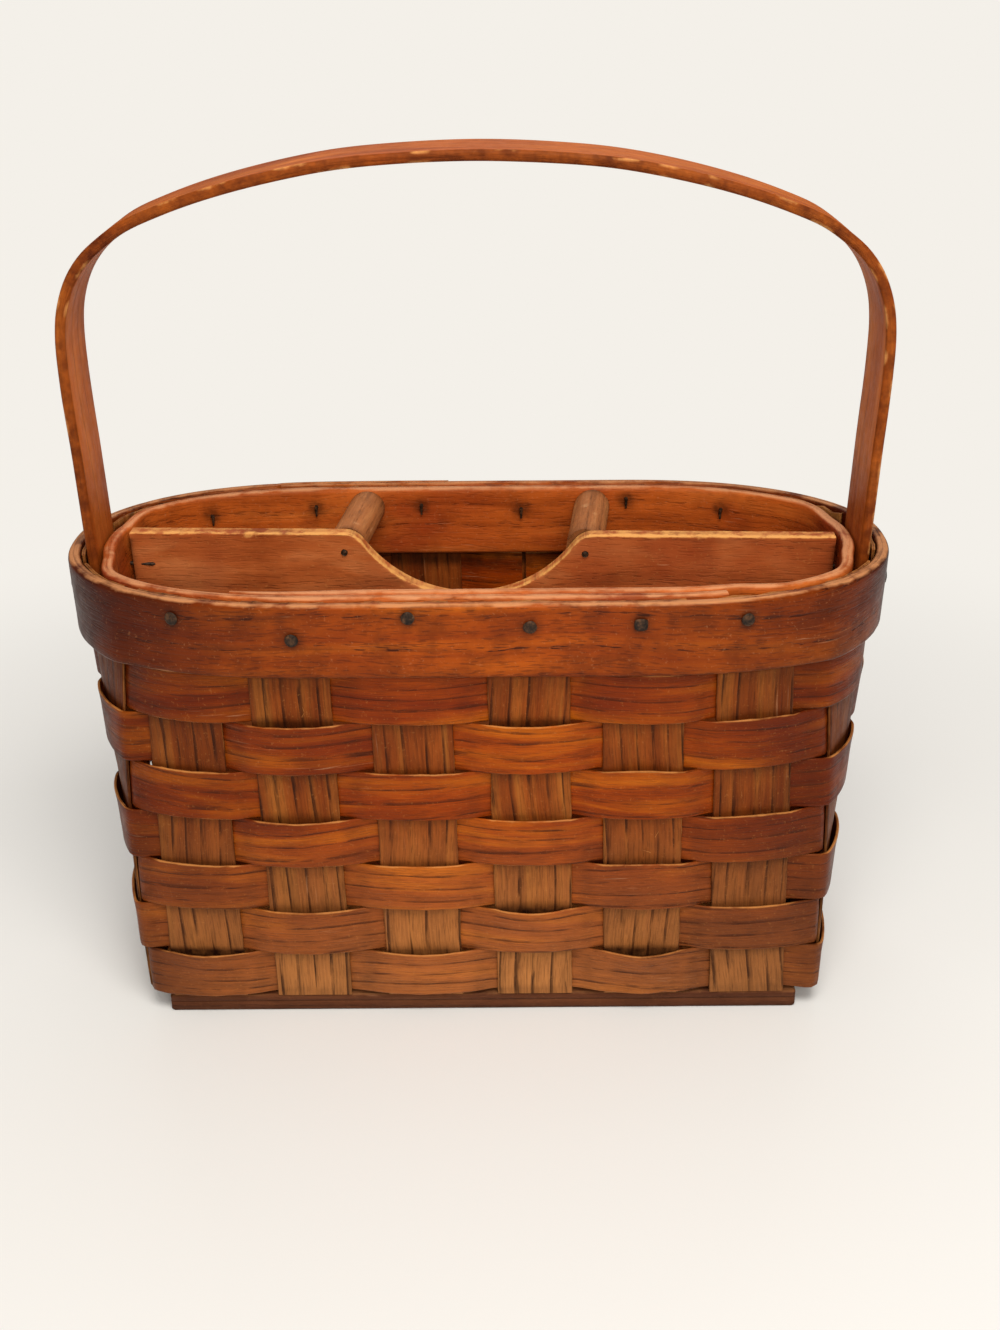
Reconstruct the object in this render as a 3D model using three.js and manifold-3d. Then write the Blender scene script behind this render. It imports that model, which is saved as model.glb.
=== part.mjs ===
// Woven wood-splint carrier with a bow handle, a scooped divider and two cell dowels.
// Millimetres, +Z up. The front is at -Y, the long side runs along X, and the origin is
// the centre of the underside of the bottom board.
import * as THREE from "three";
import { mergeVertices } from "three/addons/utils/BufferGeometryUtils.js";
import Module from "manifold-3d";

// Rim: the outline is straight at front and back, and its ends are squarish half ellipses.
const rimHalfLength = 200;
const rimHalfDepth = 86;
const rimHeight = 233;
const rimStraightHalf = 75;
const rimEndPower = 0.89;
const hoopHeight = 37;
const hoopThickness = 6.2;

// Laps of the hoops, in millimetres along the front and the back.
const innerLapHalf = 114;
const innerLapRamp = 34;
const innerLapFeather = 60;
const outerLapStart = -107;
const outerLapLength = 90;
const featherThickness = 1.6;

// Bottom: a lower board that shows below the weave, and an inner board inside the stakes.
const boardHalfLength = 161;
const boardHalfDepth = 71.5;
const lowerBoardThickness = 9.5;
const lowerBoardBevel = 1.4;
const innerBoardThickness = 6;

// Stakes are the upright splints. Their feet leave a corner inset, and the front and back
// ones draw together and lean to the left a little on their way up to the rim.
const stakeWidth = 38;
const stakeThickness = 1.6;
const frontStakeGap = 16;
const minStakeGap = 2;
const frontCornerInset = 4.5;
const sideCornerInset = 6;
const cornerRadius = 4;
const rimPitchRatio = 0.97;
const rimLean = 4;
const stakeTopDrop = 0.8;
const frontStakeShift = [-2.2, -3.5, -1.5, -0.5, -1.2, -2.1];

// Ends: the foot of each end wall stands out past the lower board, and the wall bows
// outwards on its way up to the rim.
const endOverhang = 11;
const endBow = 4;

// The feet of the end stakes turn in between the two boards by this much.
const footTurnIn = 33;

// Weavers are the level splints. They lie flat on a stake and cross between two stakes.
const weaverWidth = 26;
const weaverThickness = 1.4;
const rowGap = 0.3;
const firstRowLift = 2;
const weaverCrown = 1.4;
const weaverEdgeRun = 0.4;
const weaverEndGap = 0.02;

// Handle: a flat bow. bowCorner lists [inset from the leg, drop below the crown] of the
// centreline, from the crown's flank to the top of the upright leg.
const handleWidth = 38;
const handleThickness = 5.2;
const handleRise = 182;
const handleFootRise = 2;
const bowCorner = [
  [147, 1.5],
  [121, 4.1],
  [92, 9.6],
  [66, 16.4],
  [46, 23.2],
  [31.6, 29.3],
  [21.2, 36.2],
  [12.7, 43.4],
  [5.7, 52.8],
  [0.5, 65.4],
  [-1.8, 78],
  [-2.4, 99],
  [-1.2, 137],
];

// Divider: a board across the length, set a little askew, with a round scoop in its top.
const dividerThickness = 9.2;
const dividerDrop = 1;
const dividerCentreY = 8.5;
const dividerSkew = THREE.MathUtils.degToRad(2.2);
const scoopRadius = 64;
const scoopDepth = 33;
const scoopShift = -5.4;
const scoopShoulder = 12;

// Dowels: both run from the divider to the back of the rim and slant to the right.
const dowelDiameter = 19;
const dowelDrop = 10.5;
const dowelFrontX = [-67, 53];
const dowelSlant = THREE.MathUtils.degToRad(6.6);

// Nails. Each row of frontNailShift is [along, up], from the stake's middle line.
const nailShank = 2;
const nailHead = 6.5;
const nailHeadHeight = 1.3;
const nailBite = 13;
const clinchLength = 5;
const rimNailDrop = 10;
const handleNailY = -10;
const boardNailInset = 16;
const frontNailShift = [
  [3.2, 1],
  [4, -6.5],
  [1, 4.2],
  [1, -0.7],
  [-2.3, 0.1],
  [-7.9, 0.5],
];

// Clearances: between two neighbouring pieces, between the hoops and the bent stakes, and
// between the divider's ends and the inner hoop.
const fit = 0.3;
const hoopFit = 0.4;
const dividerFit = 1.2;

// A stake whose hollow is smaller than this is drawn as a flat strip, and two corners on
// the wall are never closer than this part of a stake's pitch. The inner hoop comes off
// a leg of the handle over this part of a pitch.
const straightLimit = 1.2;
const nearestPlace = 0.05;
const legRamp = 0.7;

// Levels and offsets that follow from the sizes above. An inset is measured from the
// middle surface of the stakes, and is positive towards the inside.
const hoopBottom = rimHeight - hoopHeight;
const stakeFoot = lowerBoardThickness + fit;
const innerBoardBottom = stakeFoot + stakeThickness + fit;
const innerBoardTop = innerBoardBottom + innerBoardThickness;
const outerHoopInset = -(stakeThickness / 2 + hoopFit);
const rimFaceInset = outerHoopInset - hoopThickness;
const innerHoopInset = stakeThickness / 2 + hoopFit;
const weaverSeat = (stakeThickness + weaverThickness) / 2 + fit;
const weaverReach = weaverSeat + weaverCrown + weaverThickness / 2;
const nailHole = nailShank / 2 + fit;

// Rows of weaving between the lower board and the hoops.
const firstRowBottom = lowerBoardThickness + firstRowLift;
const wallRun = hoopBottom - firstRowBottom;
const rowCount = Math.floor(wallRun / (weaverWidth + rowGap));
const rowPitch = wallRun / rowCount;

// Outlines of the stakes' middle surface at the underside and at the rim.
const baseHalfLength = boardHalfLength + endOverhang - stakeThickness / 2;
const baseHalfDepth = boardHalfDepth - stakeThickness / 2;
const topHalfLength = rimHalfLength + rimFaceInset;
const topHalfDepth = rimHalfDepth + rimFaceInset;

// A quarter outline from the middle of the front to the middle of the right end.
function baseQuarter() {
  const points = [new THREE.Vector2(0, -baseHalfDepth)];
  for (let i = 0; i <= 12; i += 1) {
    const angle = (i / 12) * (Math.PI / 2);
    points.push(new THREE.Vector2(
      baseHalfLength - cornerRadius + cornerRadius * Math.sin(angle),
      -baseHalfDepth + cornerRadius - cornerRadius * Math.cos(angle),
    ));
  }
  points.push(new THREE.Vector2(baseHalfLength, 0));
  return points;
}

function rimQuarter() {
  const points = [new THREE.Vector2(0, -topHalfDepth)];
  for (let i = 0; i <= 90; i += 1) {
    const angle = (i / 90) * (Math.PI / 2);
    points.push(new THREE.Vector2(
      rimStraightHalf + (topHalfLength - rimStraightHalf) * Math.sin(angle) ** rimEndPower,
      -topHalfDepth * Math.max(Math.cos(angle), 0) ** rimEndPower,
    ));
  }
  return points;
}

// A closed outline, read by its length from the middle of the front towards the right.
class Outline {
  constructor(quarter) {
    const right = quarter.concat([...quarter].reverse().map((p) => new THREE.Vector2(p.x, -p.y)));
    const left = [...right].reverse().map((p) => new THREE.Vector2(-p.x, p.y));
    this.points = right.concat(left);
    this.lengths = [0];
    for (let i = 1; i < this.points.length; i += 1) {
      this.lengths.push(this.lengths[i - 1] + this.points[i].distanceTo(this.points[i - 1]));
    }
    this.total = this.lengths[this.lengths.length - 1];
  }

  at(length) {
    const wrapped = THREE.MathUtils.euclideanModulo(length, this.total);
    let low = 0;
    let high = this.lengths.length - 1;
    while (high - low > 1) {
      const middle = (low + high) >> 1;
      if (this.lengths[middle] <= wrapped) low = middle;
      else high = middle;
    }
    const span = this.lengths[high] - this.lengths[low];
    const share = span > 0 ? (wrapped - this.lengths[low]) / span : 0;
    return this.points[low].clone().lerp(this.points[high], share);
  }
}

const baseOutline = new Outline(baseQuarter());
const rimOutline = new Outline(rimQuarter());

// Stake counts: on the front the number that comes closest to the wanted gap, and on each
// end as many as fit, but an odd number, so that one stands behind each leg of the handle.
const frontRun = 2 * (boardHalfLength - frontCornerInset) - stakeWidth;
const sideRun = 2 * (boardHalfDepth - sideCornerInset) - stakeWidth;
const frontStakes = 1 + Math.round(frontRun / (stakeWidth + frontStakeGap));
const sideStakes = 1 + 2 * Math.floor(sideRun / (2 * (stakeWidth + minStakeGap)));
const stakeCount = 2 * (frontStakes + sideStakes);
const rightMiddle = frontStakes + (sideStakes - 1) / 2;
const leftMiddle = rightMiddle + frontStakes + sideStakes;

// Where each stake's middle line meets an outline, as a length along that outline.
function stakeStations(outline, frontPitch, sidePitch, lean) {
  const stations = [];
  const halfWay = outline.total / 2;
  const sideLean = (step) => (lean * 2 * Math.abs(step)) / (sideStakes + 1);
  for (let i = 0; i < frontStakes; i += 1) {
    const shift = frontStakeShift[i % frontStakeShift.length];
    stations.push((i - (frontStakes - 1) / 2) * frontPitch - lean + shift);
  }
  for (let i = 0; i < sideStakes; i += 1) {
    const step = i - (sideStakes - 1) / 2;
    stations.push(halfWay / 2 + step * sidePitch + Math.sign(step) * sideLean(step));
  }
  for (let i = 0; i < frontStakes; i += 1) {
    stations.push(halfWay + (i - (frontStakes - 1) / 2) * frontPitch + lean);
  }
  for (let i = 0; i < sideStakes; i += 1) {
    const step = i - (sideStakes - 1) / 2;
    stations.push(1.5 * halfWay + step * sidePitch - Math.sign(step) * sideLean(step));
  }
  return stations;
}

const baseFrontPitch = frontStakes > 1 ? frontRun / (frontStakes - 1) : 0;
const baseSidePitch = sideStakes > 1 ? sideRun / (sideStakes - 1) : 0;
const rimFrontPitch = baseFrontPitch * rimPitchRatio;
const rimSideRun = rimOutline.total / 2 - (frontStakes - 1) * rimFrontPitch;
const rimSidePitch = rimSideRun / (sideStakes + 1);
const baseStations = stakeStations(baseOutline, baseFrontPitch, baseSidePitch, 0);
const rimStations = stakeStations(rimOutline, rimFrontPitch, rimSidePitch, rimLean);

const smooth = (from, to, value) => THREE.MathUtils.smoothstep(value, from, to);

// A place round the wall is counted in stakes: 0 is the front left stake's middle line,
// and a half is the middle of the gap after it.
function stationLength(stations, total, place) {
  const turns = Math.floor(place / stakeCount);
  const local = place - turns * stakeCount;
  const index = Math.floor(local);
  const start = stations[index];
  const next = index + 1 < stakeCount ? stations[index + 1] : stations[0] + total;
  return turns * total + start + (next - start) * (local - index);
}

// The place that lies a width away from a stake's middle line, at a height.
function placeBeside(index, distance, height) {
  const share = height / rimHeight;
  const sign = distance < 0 ? -1 : 1;
  const gapAt = (stations, total) => Math.abs(
    stationLength(stations, total, index + sign * 0.5) - stationLength(stations, total, index),
  ) * 2;
  const baseGap = gapAt(baseStations, baseOutline.total);
  const rimGap = gapAt(rimStations, rimOutline.total);
  return index + distance / (baseGap + (rimGap - baseGap) * share);
}

// How far the end walls bow out at a height. The bow is straight within each row of weaving
// and behind the hoops, as the flat facets there are.
const bowLevels = Array.from({ length: rowCount + 1 }, (_, i) => firstRowBottom + rowPitch * i);
bowLevels.push(rimHeight);
function bowAt(height) {
  const curve = (level) => {
    const rise = (level - firstRowBottom) / (rimHeight - firstRowBottom);
    return 4 * endBow * rise * (1 - rise);
  };
  const next = bowLevels.findIndex((level) => level >= height);
  if (next < 1) return 0;
  const [low, high] = [bowLevels[next - 1], bowLevels[next]];
  return THREE.MathUtils.lerp(curve(low), curve(high), (height - low) / (high - low));
}

// The share of the bow at a place: all of it on the end stakes, and none on the front and
// back ones. It changes in the gap at the corner.
const endSpan = (sideStakes - 1) / 2;
const edgePlace = Math.min(0.45, (stakeWidth / 2 + fit) / Math.min(baseSidePitch + endOverhang, rimSidePitch));
const awayFromEnd = (place) => {
  const local = THREE.MathUtils.euclideanModulo(place, stakeCount);
  return Math.min(Math.abs(local - rightMiddle), Math.abs(local - leftMiddle));
};
const bowShare = (place) => 1 - smooth(endSpan + edgePlace, endSpan + 1 - edgePlace, awayFromEnd(place));

// A point of the wall at a place and a height, moved inwards by the inset.
function wallPoint(place, height, inset) {
  const share = height / rimHeight;
  const point = (at) => {
    const foot = baseOutline.at(stationLength(baseStations, baseOutline.total, at));
    const head = rimOutline.at(stationLength(rimStations, rimOutline.total, at));
    const here = foot.lerp(head, share);
    here.x += Math.sign(here.x) * bowAt(height) * bowShare(at);
    return here;
  };
  const along = point(place + 0.02).sub(point(place - 0.02)).normalize();
  const here = point(place);
  return new THREE.Vector3(here.x - along.y * inset, here.y + along.x * inset, height);
}

// The direction into the basket, square to the wall.
function wallInward(place, height) {
  const along = wallPoint(place + 0.05, height, 0).sub(wallPoint(place - 0.05, height, 0));
  const up = wallPoint(place, height + 5, 0).sub(wallPoint(place, height - 5, 0));
  return up.cross(along).normalize();
}

// The place on the rim's front or back whose middle line has a given X, and the place on
// an end whose middle line has a given Y.
function placeAt(low, high, wanted, coordinate) {
  const middleHeight = (rimHeight + hoopBottom) / 2;
  let a = low;
  let b = high;
  const rising = wallPoint(high, middleHeight, 0)[coordinate] > wallPoint(low, middleHeight, 0)[coordinate];
  for (let i = 0; i < 40; i += 1) {
    const middle = (a + b) / 2;
    const above = wallPoint(middle, middleHeight, 0)[coordinate] > wanted;
    if (above === rising) b = middle;
    else a = middle;
  }
  return (a + b) / 2;
}
const frontPlace = (x) => placeAt(-0.6, frontStakes - 0.4, x, "x");
const backPlace = (x) => placeAt(rightMiddle + 1.5, leftMiddle - 1.5, x, "x");
const rightPlace = (y) => placeAt(rightMiddle - 0.8, rightMiddle + 0.8, y, "y");
const leftPlace = (y) => placeAt(leftMiddle - 0.8, leftMiddle + 0.8, y, "y");

// Solids are joined and cut on merged vertices.
const wasm = await Module();
wasm.setup();

function toSolid(geometry) {
  const bare = new THREE.BufferGeometry();
  bare.setAttribute("position", geometry.getAttribute("position").clone());
  if (geometry.index) bare.setIndex(geometry.index.clone());
  const merged = mergeVertices(bare, 1e-4);
  return new wasm.Manifold(new wasm.Mesh({
    numProp: 3,
    vertProperties: Float32Array.from(merged.getAttribute("position").array),
    triVerts: Uint32Array.from(merged.index.array),
  }));
}

function toGeometry(solid) {
  const mesh = solid.getMesh();
  const geometry = new THREE.BufferGeometry();
  const corners = new Float32Array(mesh.triVerts.length * 3);
  for (let i = 0; i < mesh.triVerts.length; i += 1) {
    const start = mesh.triVerts[i] * mesh.numProp;
    corners.set(mesh.vertProperties.subarray(start, start + 3), i * 3);
  }
  geometry.setAttribute("position", new THREE.BufferAttribute(corners, 3));
  const merged = mergeVertices(geometry, 1e-5);
  merged.computeVertexNormals();
  return merged;
}

// Gives the box's inner face the same diagonals as its outer face, so that the twisted
// facets of two pieces that lie on each other run parallel.
function alignDiagonals(box) {
  const { start, count } = box.groups.find((group) => group.materialIndex === 2);
  const index = box.index.array;
  for (let i = start; i < start + count; i += 6) {
    const [a, b, d] = [index[i], index[i + 1], index[i + 2]];
    const c = index[i + 4];
    index.set([a, b, c, a, c, d], i);
  }
}

// A box of unit size, cut into steps along X and Z, whose vertices move to place(u, v, w).
// u runs along the piece, v from its outer to its inner face and w from bottom to top.
function bentBox(steps, place, widthSteps = 1) {
  const box = new THREE.BoxGeometry(1, 1, 1, steps, 1, widthSteps);
  alignDiagonals(box);
  const positions = box.getAttribute("position");
  for (let i = 0; i < positions.count; i += 1) {
    const u = positions.getX(i) + 0.5;
    const v = positions.getY(i) + 0.5;
    const w = positions.getZ(i) + 0.5;
    positions.setXYZ(i, ...place(u, v, w).toArray());
  }
  box.deleteAttribute("uv");
  box.deleteAttribute("normal");
  const merged = mergeVertices(box, 1e-5);
  merged.computeVertexNormals();
  return merged;
}

// A band along the wall through a list of places. outer and inner give the insets of its
// two faces, and low and high the heights of its edges.
function band(places, outer, inner, low, high) {
  return bentBox(places.length - 1, (u, v, w) => {
    const place = places[Math.round(u * (places.length - 1))];
    const inset = v < 0.5 ? outer(place) : inner(place);
    return wallPoint(place, w < 0.5 ? low : high, inset);
  });
}

// The places at which everything on the wall has its corners, so that flat facets follow
// each other: three lines down a straight stake, five down a bent one, and one line in
// the middle of each gap.
function stakeHollow(index, span) {
  const at = (distance) => wallPoint(placeBeside(index, distance, rimHeight), rimHeight, 0);
  const chord = at(-span).add(at(span)).multiplyScalar(0.5);
  return chord.distanceTo(at(0));
}
const isStraight = (index) => stakeHollow(index, stakeWidth / 2) < straightLimit;
const stakeLines = (index) => (isStraight(index) ? [-1, 0, 1] : [-1, -0.5, 0, 0.5, 1]);
function wallPlaces(from, to, height, extra = []) {
  const fixed = [from, ...extra, to];
  const places = [];
  for (let index = Math.floor(from); index <= Math.ceil(to); index += 1) {
    for (const line of stakeLines(index)) {
      places.push(placeBeside(index, (line * stakeWidth) / 2, height));
    }
    places.push(index + 0.5);
  }
  const clear = (place) => fixed.every((each) => Math.abs(each - place) > nearestPlace);
  return places
    .filter((place) => place > from && place < to && clear(place))
    .concat(fixed)
    .sort((a, b) => a - b);
}

const nailSides = 6;

// Nails are made along +Z, with the head's underside one clearance off the face at z = 0.
function nailGeometry(length, clinched) {
  const radius = nailShank / 2;
  const head = nailHead / 2;
  const crown = -fit - nailHeadHeight;
  const profile = [
    [0, crown],
    [head * 0.62, crown + nailHeadHeight * 0.2],
    [head, -fit - nailHeadHeight * 0.4],
    [head, -fit],
    [radius, -fit],
    [radius, length - (clinched ? 0 : nailShank)],
    [clinched ? radius : radius * 0.3, length],
    [0, length],
  ];
  const body = new THREE.LatheGeometry(profile.map(([r, z]) => new THREE.Vector2(r, z)), nailSides);
  body.rotateX(Math.PI / 2);
  const flip = body.index.array;
  const solid = toSolid(body);
  const outward = solid.volume() > 0 ? solid : toSolid(flipped(body, flip));
  if (!clinched) return toGeometry(outward);
  const bend = new THREE.CatmullRomCurve3([
    new THREE.Vector3(0, 0, length - radius * 1.5),
    new THREE.Vector3(0, 0, length - radius * 0.4),
    new THREE.Vector3(0, -radius * 0.9, length + radius * 0.1),
    new THREE.Vector3(0, -clinchLength, length + radius * 0.1),
  ], false, "chordal");
  const section = new THREE.Shape();
  for (let i = 0; i < nailSides; i += 1) {
    const angle = (i / nailSides) * 2 * Math.PI;
    const step = i === 0 ? "moveTo" : "lineTo";
    section[step](radius * 0.94 * Math.cos(angle), radius * 0.94 * Math.sin(angle));
  }
  section.closePath();
  const tip = new THREE.ExtrudeGeometry(section, { steps: 4, extrudePath: bend });
  return toGeometry(outward.add(toSolid(tip)));
}

function flipped(geometry, indices) {
  const copy = geometry.clone();
  const turned = Array.from(indices);
  for (let i = 0; i < turned.length; i += 3) {
    [turned[i], turned[i + 1]] = [turned[i + 1], turned[i]];
  }
  copy.setIndex(turned);
  return copy;
}

// A turn that takes +Z to the direction and +Y as close to straight up as it can.
function facing(direction) {
  const forward = direction.clone().normalize();
  const vertical = Math.abs(forward.z) > 0.9;
  const side = new THREE.Vector3().crossVectors(vertical ? new THREE.Vector3(0, 1, 0) : new THREE.Vector3(0, 0, 1), forward);
  side.normalize();
  const up = new THREE.Vector3().crossVectors(forward, side);
  return new THREE.Matrix4().makeBasis(side, up, forward);
}

const nails = [];
function addNail(name, seat, direction, length, clinched = false) {
  nails.push({ name, seat, direction, length, clinched });
}

// Each nail's hole, cut out of the pieces that the nail passes through.
function drill(geometry, names) {
  let solid = toSolid(geometry);
  for (const nail of nails.filter((each) => names(each.name))) {
    const depth = nail.length + fit + nailHole;
    const hole = new THREE.CylinderGeometry(nailHole, nailHole, depth + 2, nailSides);
    hole.rotateY(Math.PI / nailSides / 2);
    hole.rotateX(Math.PI / 2);
    hole.translate(0, 0, depth / 2 - 1);
    hole.applyMatrix4(facing(nail.direction));
    hole.translate(...nail.seat.toArray());
    solid = solid.subtract(toSolid(hole));
  }
  return toGeometry(solid);
}

// A flat leg bears with its two edges on the bent stake behind it, so it stands off the
// middle of that stake by the stake's hollow.
const legEdge = wallPoint(rightPlace(handleWidth / 2), rimHeight, innerHoopInset);
const legHollow = wallPoint(rightMiddle, rimHeight, innerHoopInset).x - legEdge.x;
const legInset = innerHoopInset + legHollow + handleThickness / 2;

// The inner hoop lies on the stakes at front and back, and on the legs at both ends. On
// the front it laps over itself, so it starts there one thickness further in.
const legHalfSpan = (handleWidth / 2 + fit) / rimSidePitch;
function legBulge(place) {
  const rise = legHollow + handleThickness + fit;
  const start = legHalfSpan + nearestPlace;
  return rise * (1 - smooth(start, start + legRamp, awayFromEnd(place)));
}
const lapFrom = frontPlace(-innerLapHalf);
const lapTo = frontPlace(innerLapHalf);
const rampPlaces = innerLapRamp / rimFrontPitch;
const lapGap = 0.04;
function innerHoopOuterFace(place) {
  const doubled = 1 - smooth(lapTo + lapGap, lapTo + lapGap + rampPlaces, place);
  return innerHoopInset + legBulge(place) + doubled * (hoopThickness + fit);
}
const featherPlaces = innerLapFeather / rimFrontPitch;
function innerHoopFace(place) {
  const share = THREE.MathUtils.clamp((place - lapFrom) / featherPlaces, 0, 1);
  const thickness = featherThickness + (hoopThickness - featherThickness) * share;
  return innerHoopOuterFace(place) + thickness;
}

// The face that is seen from inside the basket, at any place round the rim.
function insideFace(place) {
  const local = THREE.MathUtils.euclideanModulo(place, stakeCount);
  const inStart = local >= lapFrom && local <= lapTo + lapGap + rampPlaces;
  return innerHoopFace(inStart ? local : local + stakeCount);
}

// Rim nails: one through each front and back stake, clinched over inside.
const clinchSeat = 2 * fit + nailShank / 2;
for (let i = 0; i < frontStakes; i += 1) {
  const shift = frontNailShift[i % frontNailShift.length];
  const frontAt = i + shift[0] / rimFrontPitch;
  const frontHeight = rimHeight - rimNailDrop + shift[1];
  const backAt = rightMiddle + (sideStakes + 1) / 2 + i + (2 - shift[0]) / rimFrontPitch;
  addNail(
    `rim_nail_front_${i + 1}`,
    wallPoint(frontAt, frontHeight, rimFaceInset),
    wallInward(frontAt, frontHeight),
    insideFace(frontAt) - rimFaceInset + clinchSeat,
    true,
  );
  addNail(
    `rim_nail_back_${i + 1}`,
    wallPoint(backAt, rimHeight - rimNailDrop - shift[1] / 2, rimFaceInset),
    wallInward(backAt, rimHeight - rimNailDrop),
    insideFace(backAt) - rimFaceInset + clinchSeat,
    true,
  );
}

// The divider's frame: alongDivider runs to its right end, acrossDivider to the back.
const alongDivider = new THREE.Vector3(Math.cos(dividerSkew), -Math.sin(dividerSkew), 0);
const acrossDivider = new THREE.Vector3(Math.sin(dividerSkew), Math.cos(dividerSkew), 0);
const dividerTop = rimHeight - dividerDrop;
const dividerPoint = (along, across, height) => new THREE.Vector3(0, dividerCentreY, height)
  .addScaledVector(alongDivider, along)
  .addScaledVector(acrossDivider, across);

// How far the divider reaches along its own length before a corner meets the inner hoop.
function dividerReach(sign, height) {
  const placeOf = sign < 0 ? leftPlace : rightPlace;
  let reach = topHalfLength;
  for (let step = 0; step < 8; step += 1) {
    const limits = [-1, 1].map((face) => {
      const corner = dividerPoint(sign * reach, (face * dividerThickness) / 2, height);
      const place = placeOf(corner.y);
      const hoop = wallPoint(place, height, insideFace(place));
      return reach + (Math.abs(hoop.x) - dividerFit - Math.abs(corner.x)) / alongDivider.x;
    });
    reach = Math.min(...limits);
  }
  return reach;
}
const dividerFoot = innerBoardTop + fit;
const dividerEnds = [-1, 1].map((sign) => {
  const top = dividerReach(sign, dividerTop);
  const slope = (top - dividerReach(sign, hoopBottom)) / (dividerTop - hoopBottom);
  const middle = sign < 0 ? leftMiddle : rightMiddle;
  const wall = Math.abs(wallPoint(middle, dividerFoot, weaverReach).x) - dividerFit;
  const foot = Math.min(top - slope * (dividerTop - dividerFoot), wall);
  return { top: sign * top, foot: sign * foot };
});

// Nails through the ends of the rim: one holds the leg, one runs on into the divider.
const hoopMiddle = (rimHeight + hoopBottom) / 2;
for (const [side, place, end] of [["left", leftPlace, 0], ["right", rightPlace, 1]]) {
  const legAt = place(handleNailY);
  const dividerAt = place(dividerPoint(dividerEnds[end].top, 0, 0).y);
  addNail(
    `handle_nail_${side}`,
    wallPoint(legAt, hoopMiddle, rimFaceInset),
    wallInward(legAt, hoopMiddle),
    insideFace(legAt) - rimFaceInset + clinchSeat,
    true,
  );
  addNail(
    `divider_nail_${side}`,
    wallPoint(dividerAt, hoopMiddle, rimFaceInset),
    wallInward(dividerAt, hoopMiddle),
    insideFace(dividerAt) - rimFaceInset + nailBite,
  );
}

// Dowels: each axis starts on the back face of the divider and ends on the inner hoop.
const dowelHeight = rimHeight - dowelDrop;
const dowelAxis = new THREE.Vector3(Math.sin(dowelSlant), Math.cos(dowelSlant), 0);
function backFaceY(x, height) {
  const place = backPlace(x);
  return wallPoint(place, height, insideFace(place)).y - fit;
}
const dowels = dowelFrontX.map((x, i) => {
  const along = (x - acrossDivider.x * (dividerThickness / 2)) / alongDivider.x;
  const start = dividerPoint(along, dividerThickness / 2 + fit, dowelHeight);
  let end = start.clone();
  for (let step = 0; step < 6; step += 1) {
    const run = (backFaceY(end.x, dowelHeight) - start.y) / dowelAxis.y;
    end = start.clone().addScaledVector(dowelAxis, run);
  }
  return { name: i === 0 ? "dowel_left" : "dowel_right", side: i === 0 ? "left" : "right", start, end };
});
for (const dowel of dowels) {
  const front = dowel.start.clone().addScaledVector(acrossDivider, -dividerThickness - fit);
  addNail(`dowel_nail_${dowel.side}`, front, acrossDivider, dividerThickness + nailBite);
  const place = backPlace(dowel.end.x);
  addNail(
    `dowel_hoop_nail_${dowel.side}`,
    wallPoint(place, dowelHeight, rimFaceInset),
    wallInward(place, dowelHeight),
    insideFace(place) - rimFaceInset + nailBite,
  );
}

// Nails through the inner board and a turned-in foot, into the lower board.
for (let i = 0; i < 4; i += 1) {
  const x = (i % 2 === 0 ? -1 : 1) * (boardHalfLength - boardNailInset);
  const y = (i < 2 ? -1 : 1) * (boardHalfDepth - boardNailInset);
  addNail(
    `board_nail_${i + 1}`,
    new THREE.Vector3(x, y, innerBoardTop),
    new THREE.Vector3(0, 0, -1),
    innerBoardTop - lowerBoardThickness * 0.4,
  );
}

const caddy = new THREE.Group();
function addPiece(name, geometry, finish) {
  const material = new THREE.MeshStandardMaterial(finish);
  const mesh = new THREE.Mesh(geometry, material);
  mesh.name = name;
  caddy.add(mesh);
  return mesh;
}
const stakeFinish = { color: 0xa9713c, roughness: 0.55, metalness: 0 };
const weaverFinish = { color: 0x9c5a2a, roughness: 0.5, metalness: 0 };
const hoopFinish = { color: 0x8a4a24, roughness: 0.45, metalness: 0 };
const handleFinish = { color: 0xa06a38, roughness: 0.5, metalness: 0 };
const boardFinish = { color: 0x7a4a30, roughness: 0.6, metalness: 0 };
const dowelFinish = { color: 0x8a6a4c, roughness: 0.6, metalness: 0 };
const nailFinish = { color: 0x4a463f, roughness: 0.5, metalness: 0.7 };

// Bottom boards.
function boardGeometry(halfLength, halfDepth, bottom, thickness, bevel, corner) {
  const shape = new THREE.Shape();
  const x = halfLength - bevel;
  const y = halfDepth - bevel;
  shape.moveTo(-x + corner, -y);
  shape.lineTo(x - corner, -y);
  shape.lineTo(x, -y + corner);
  shape.lineTo(x, y - corner);
  shape.lineTo(x - corner, y);
  shape.lineTo(-x + corner, y);
  shape.lineTo(-x, y - corner);
  shape.lineTo(-x, -y + corner);
  shape.closePath();
  const board = new THREE.ExtrudeGeometry(shape, {
    depth: thickness - 2 * bevel,
    bevelEnabled: bevel > 0,
    bevelThickness: bevel,
    bevelSize: bevel,
    bevelSegments: 1,
  });
  board.translate(0, 0, bottom + bevel);
  return board;
}
const lowerBoard = boardGeometry(
  boardHalfLength,
  boardHalfDepth,
  0,
  lowerBoardThickness,
  lowerBoardBevel,
  1,
);
const innerBoard = boardGeometry(
  baseHalfLength - weaverReach - fit,
  baseHalfDepth - weaverReach - fit,
  innerBoardBottom,
  innerBoardThickness,
  0,
  cornerRadius + weaverReach,
);
addPiece("bottom_board_lower", drill(lowerBoard, (name) => name.startsWith("board_nail")), boardFinish);
addPiece("bottom_board_inner", drill(innerBoard, (name) => name.startsWith("board_nail")), boardFinish);

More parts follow.
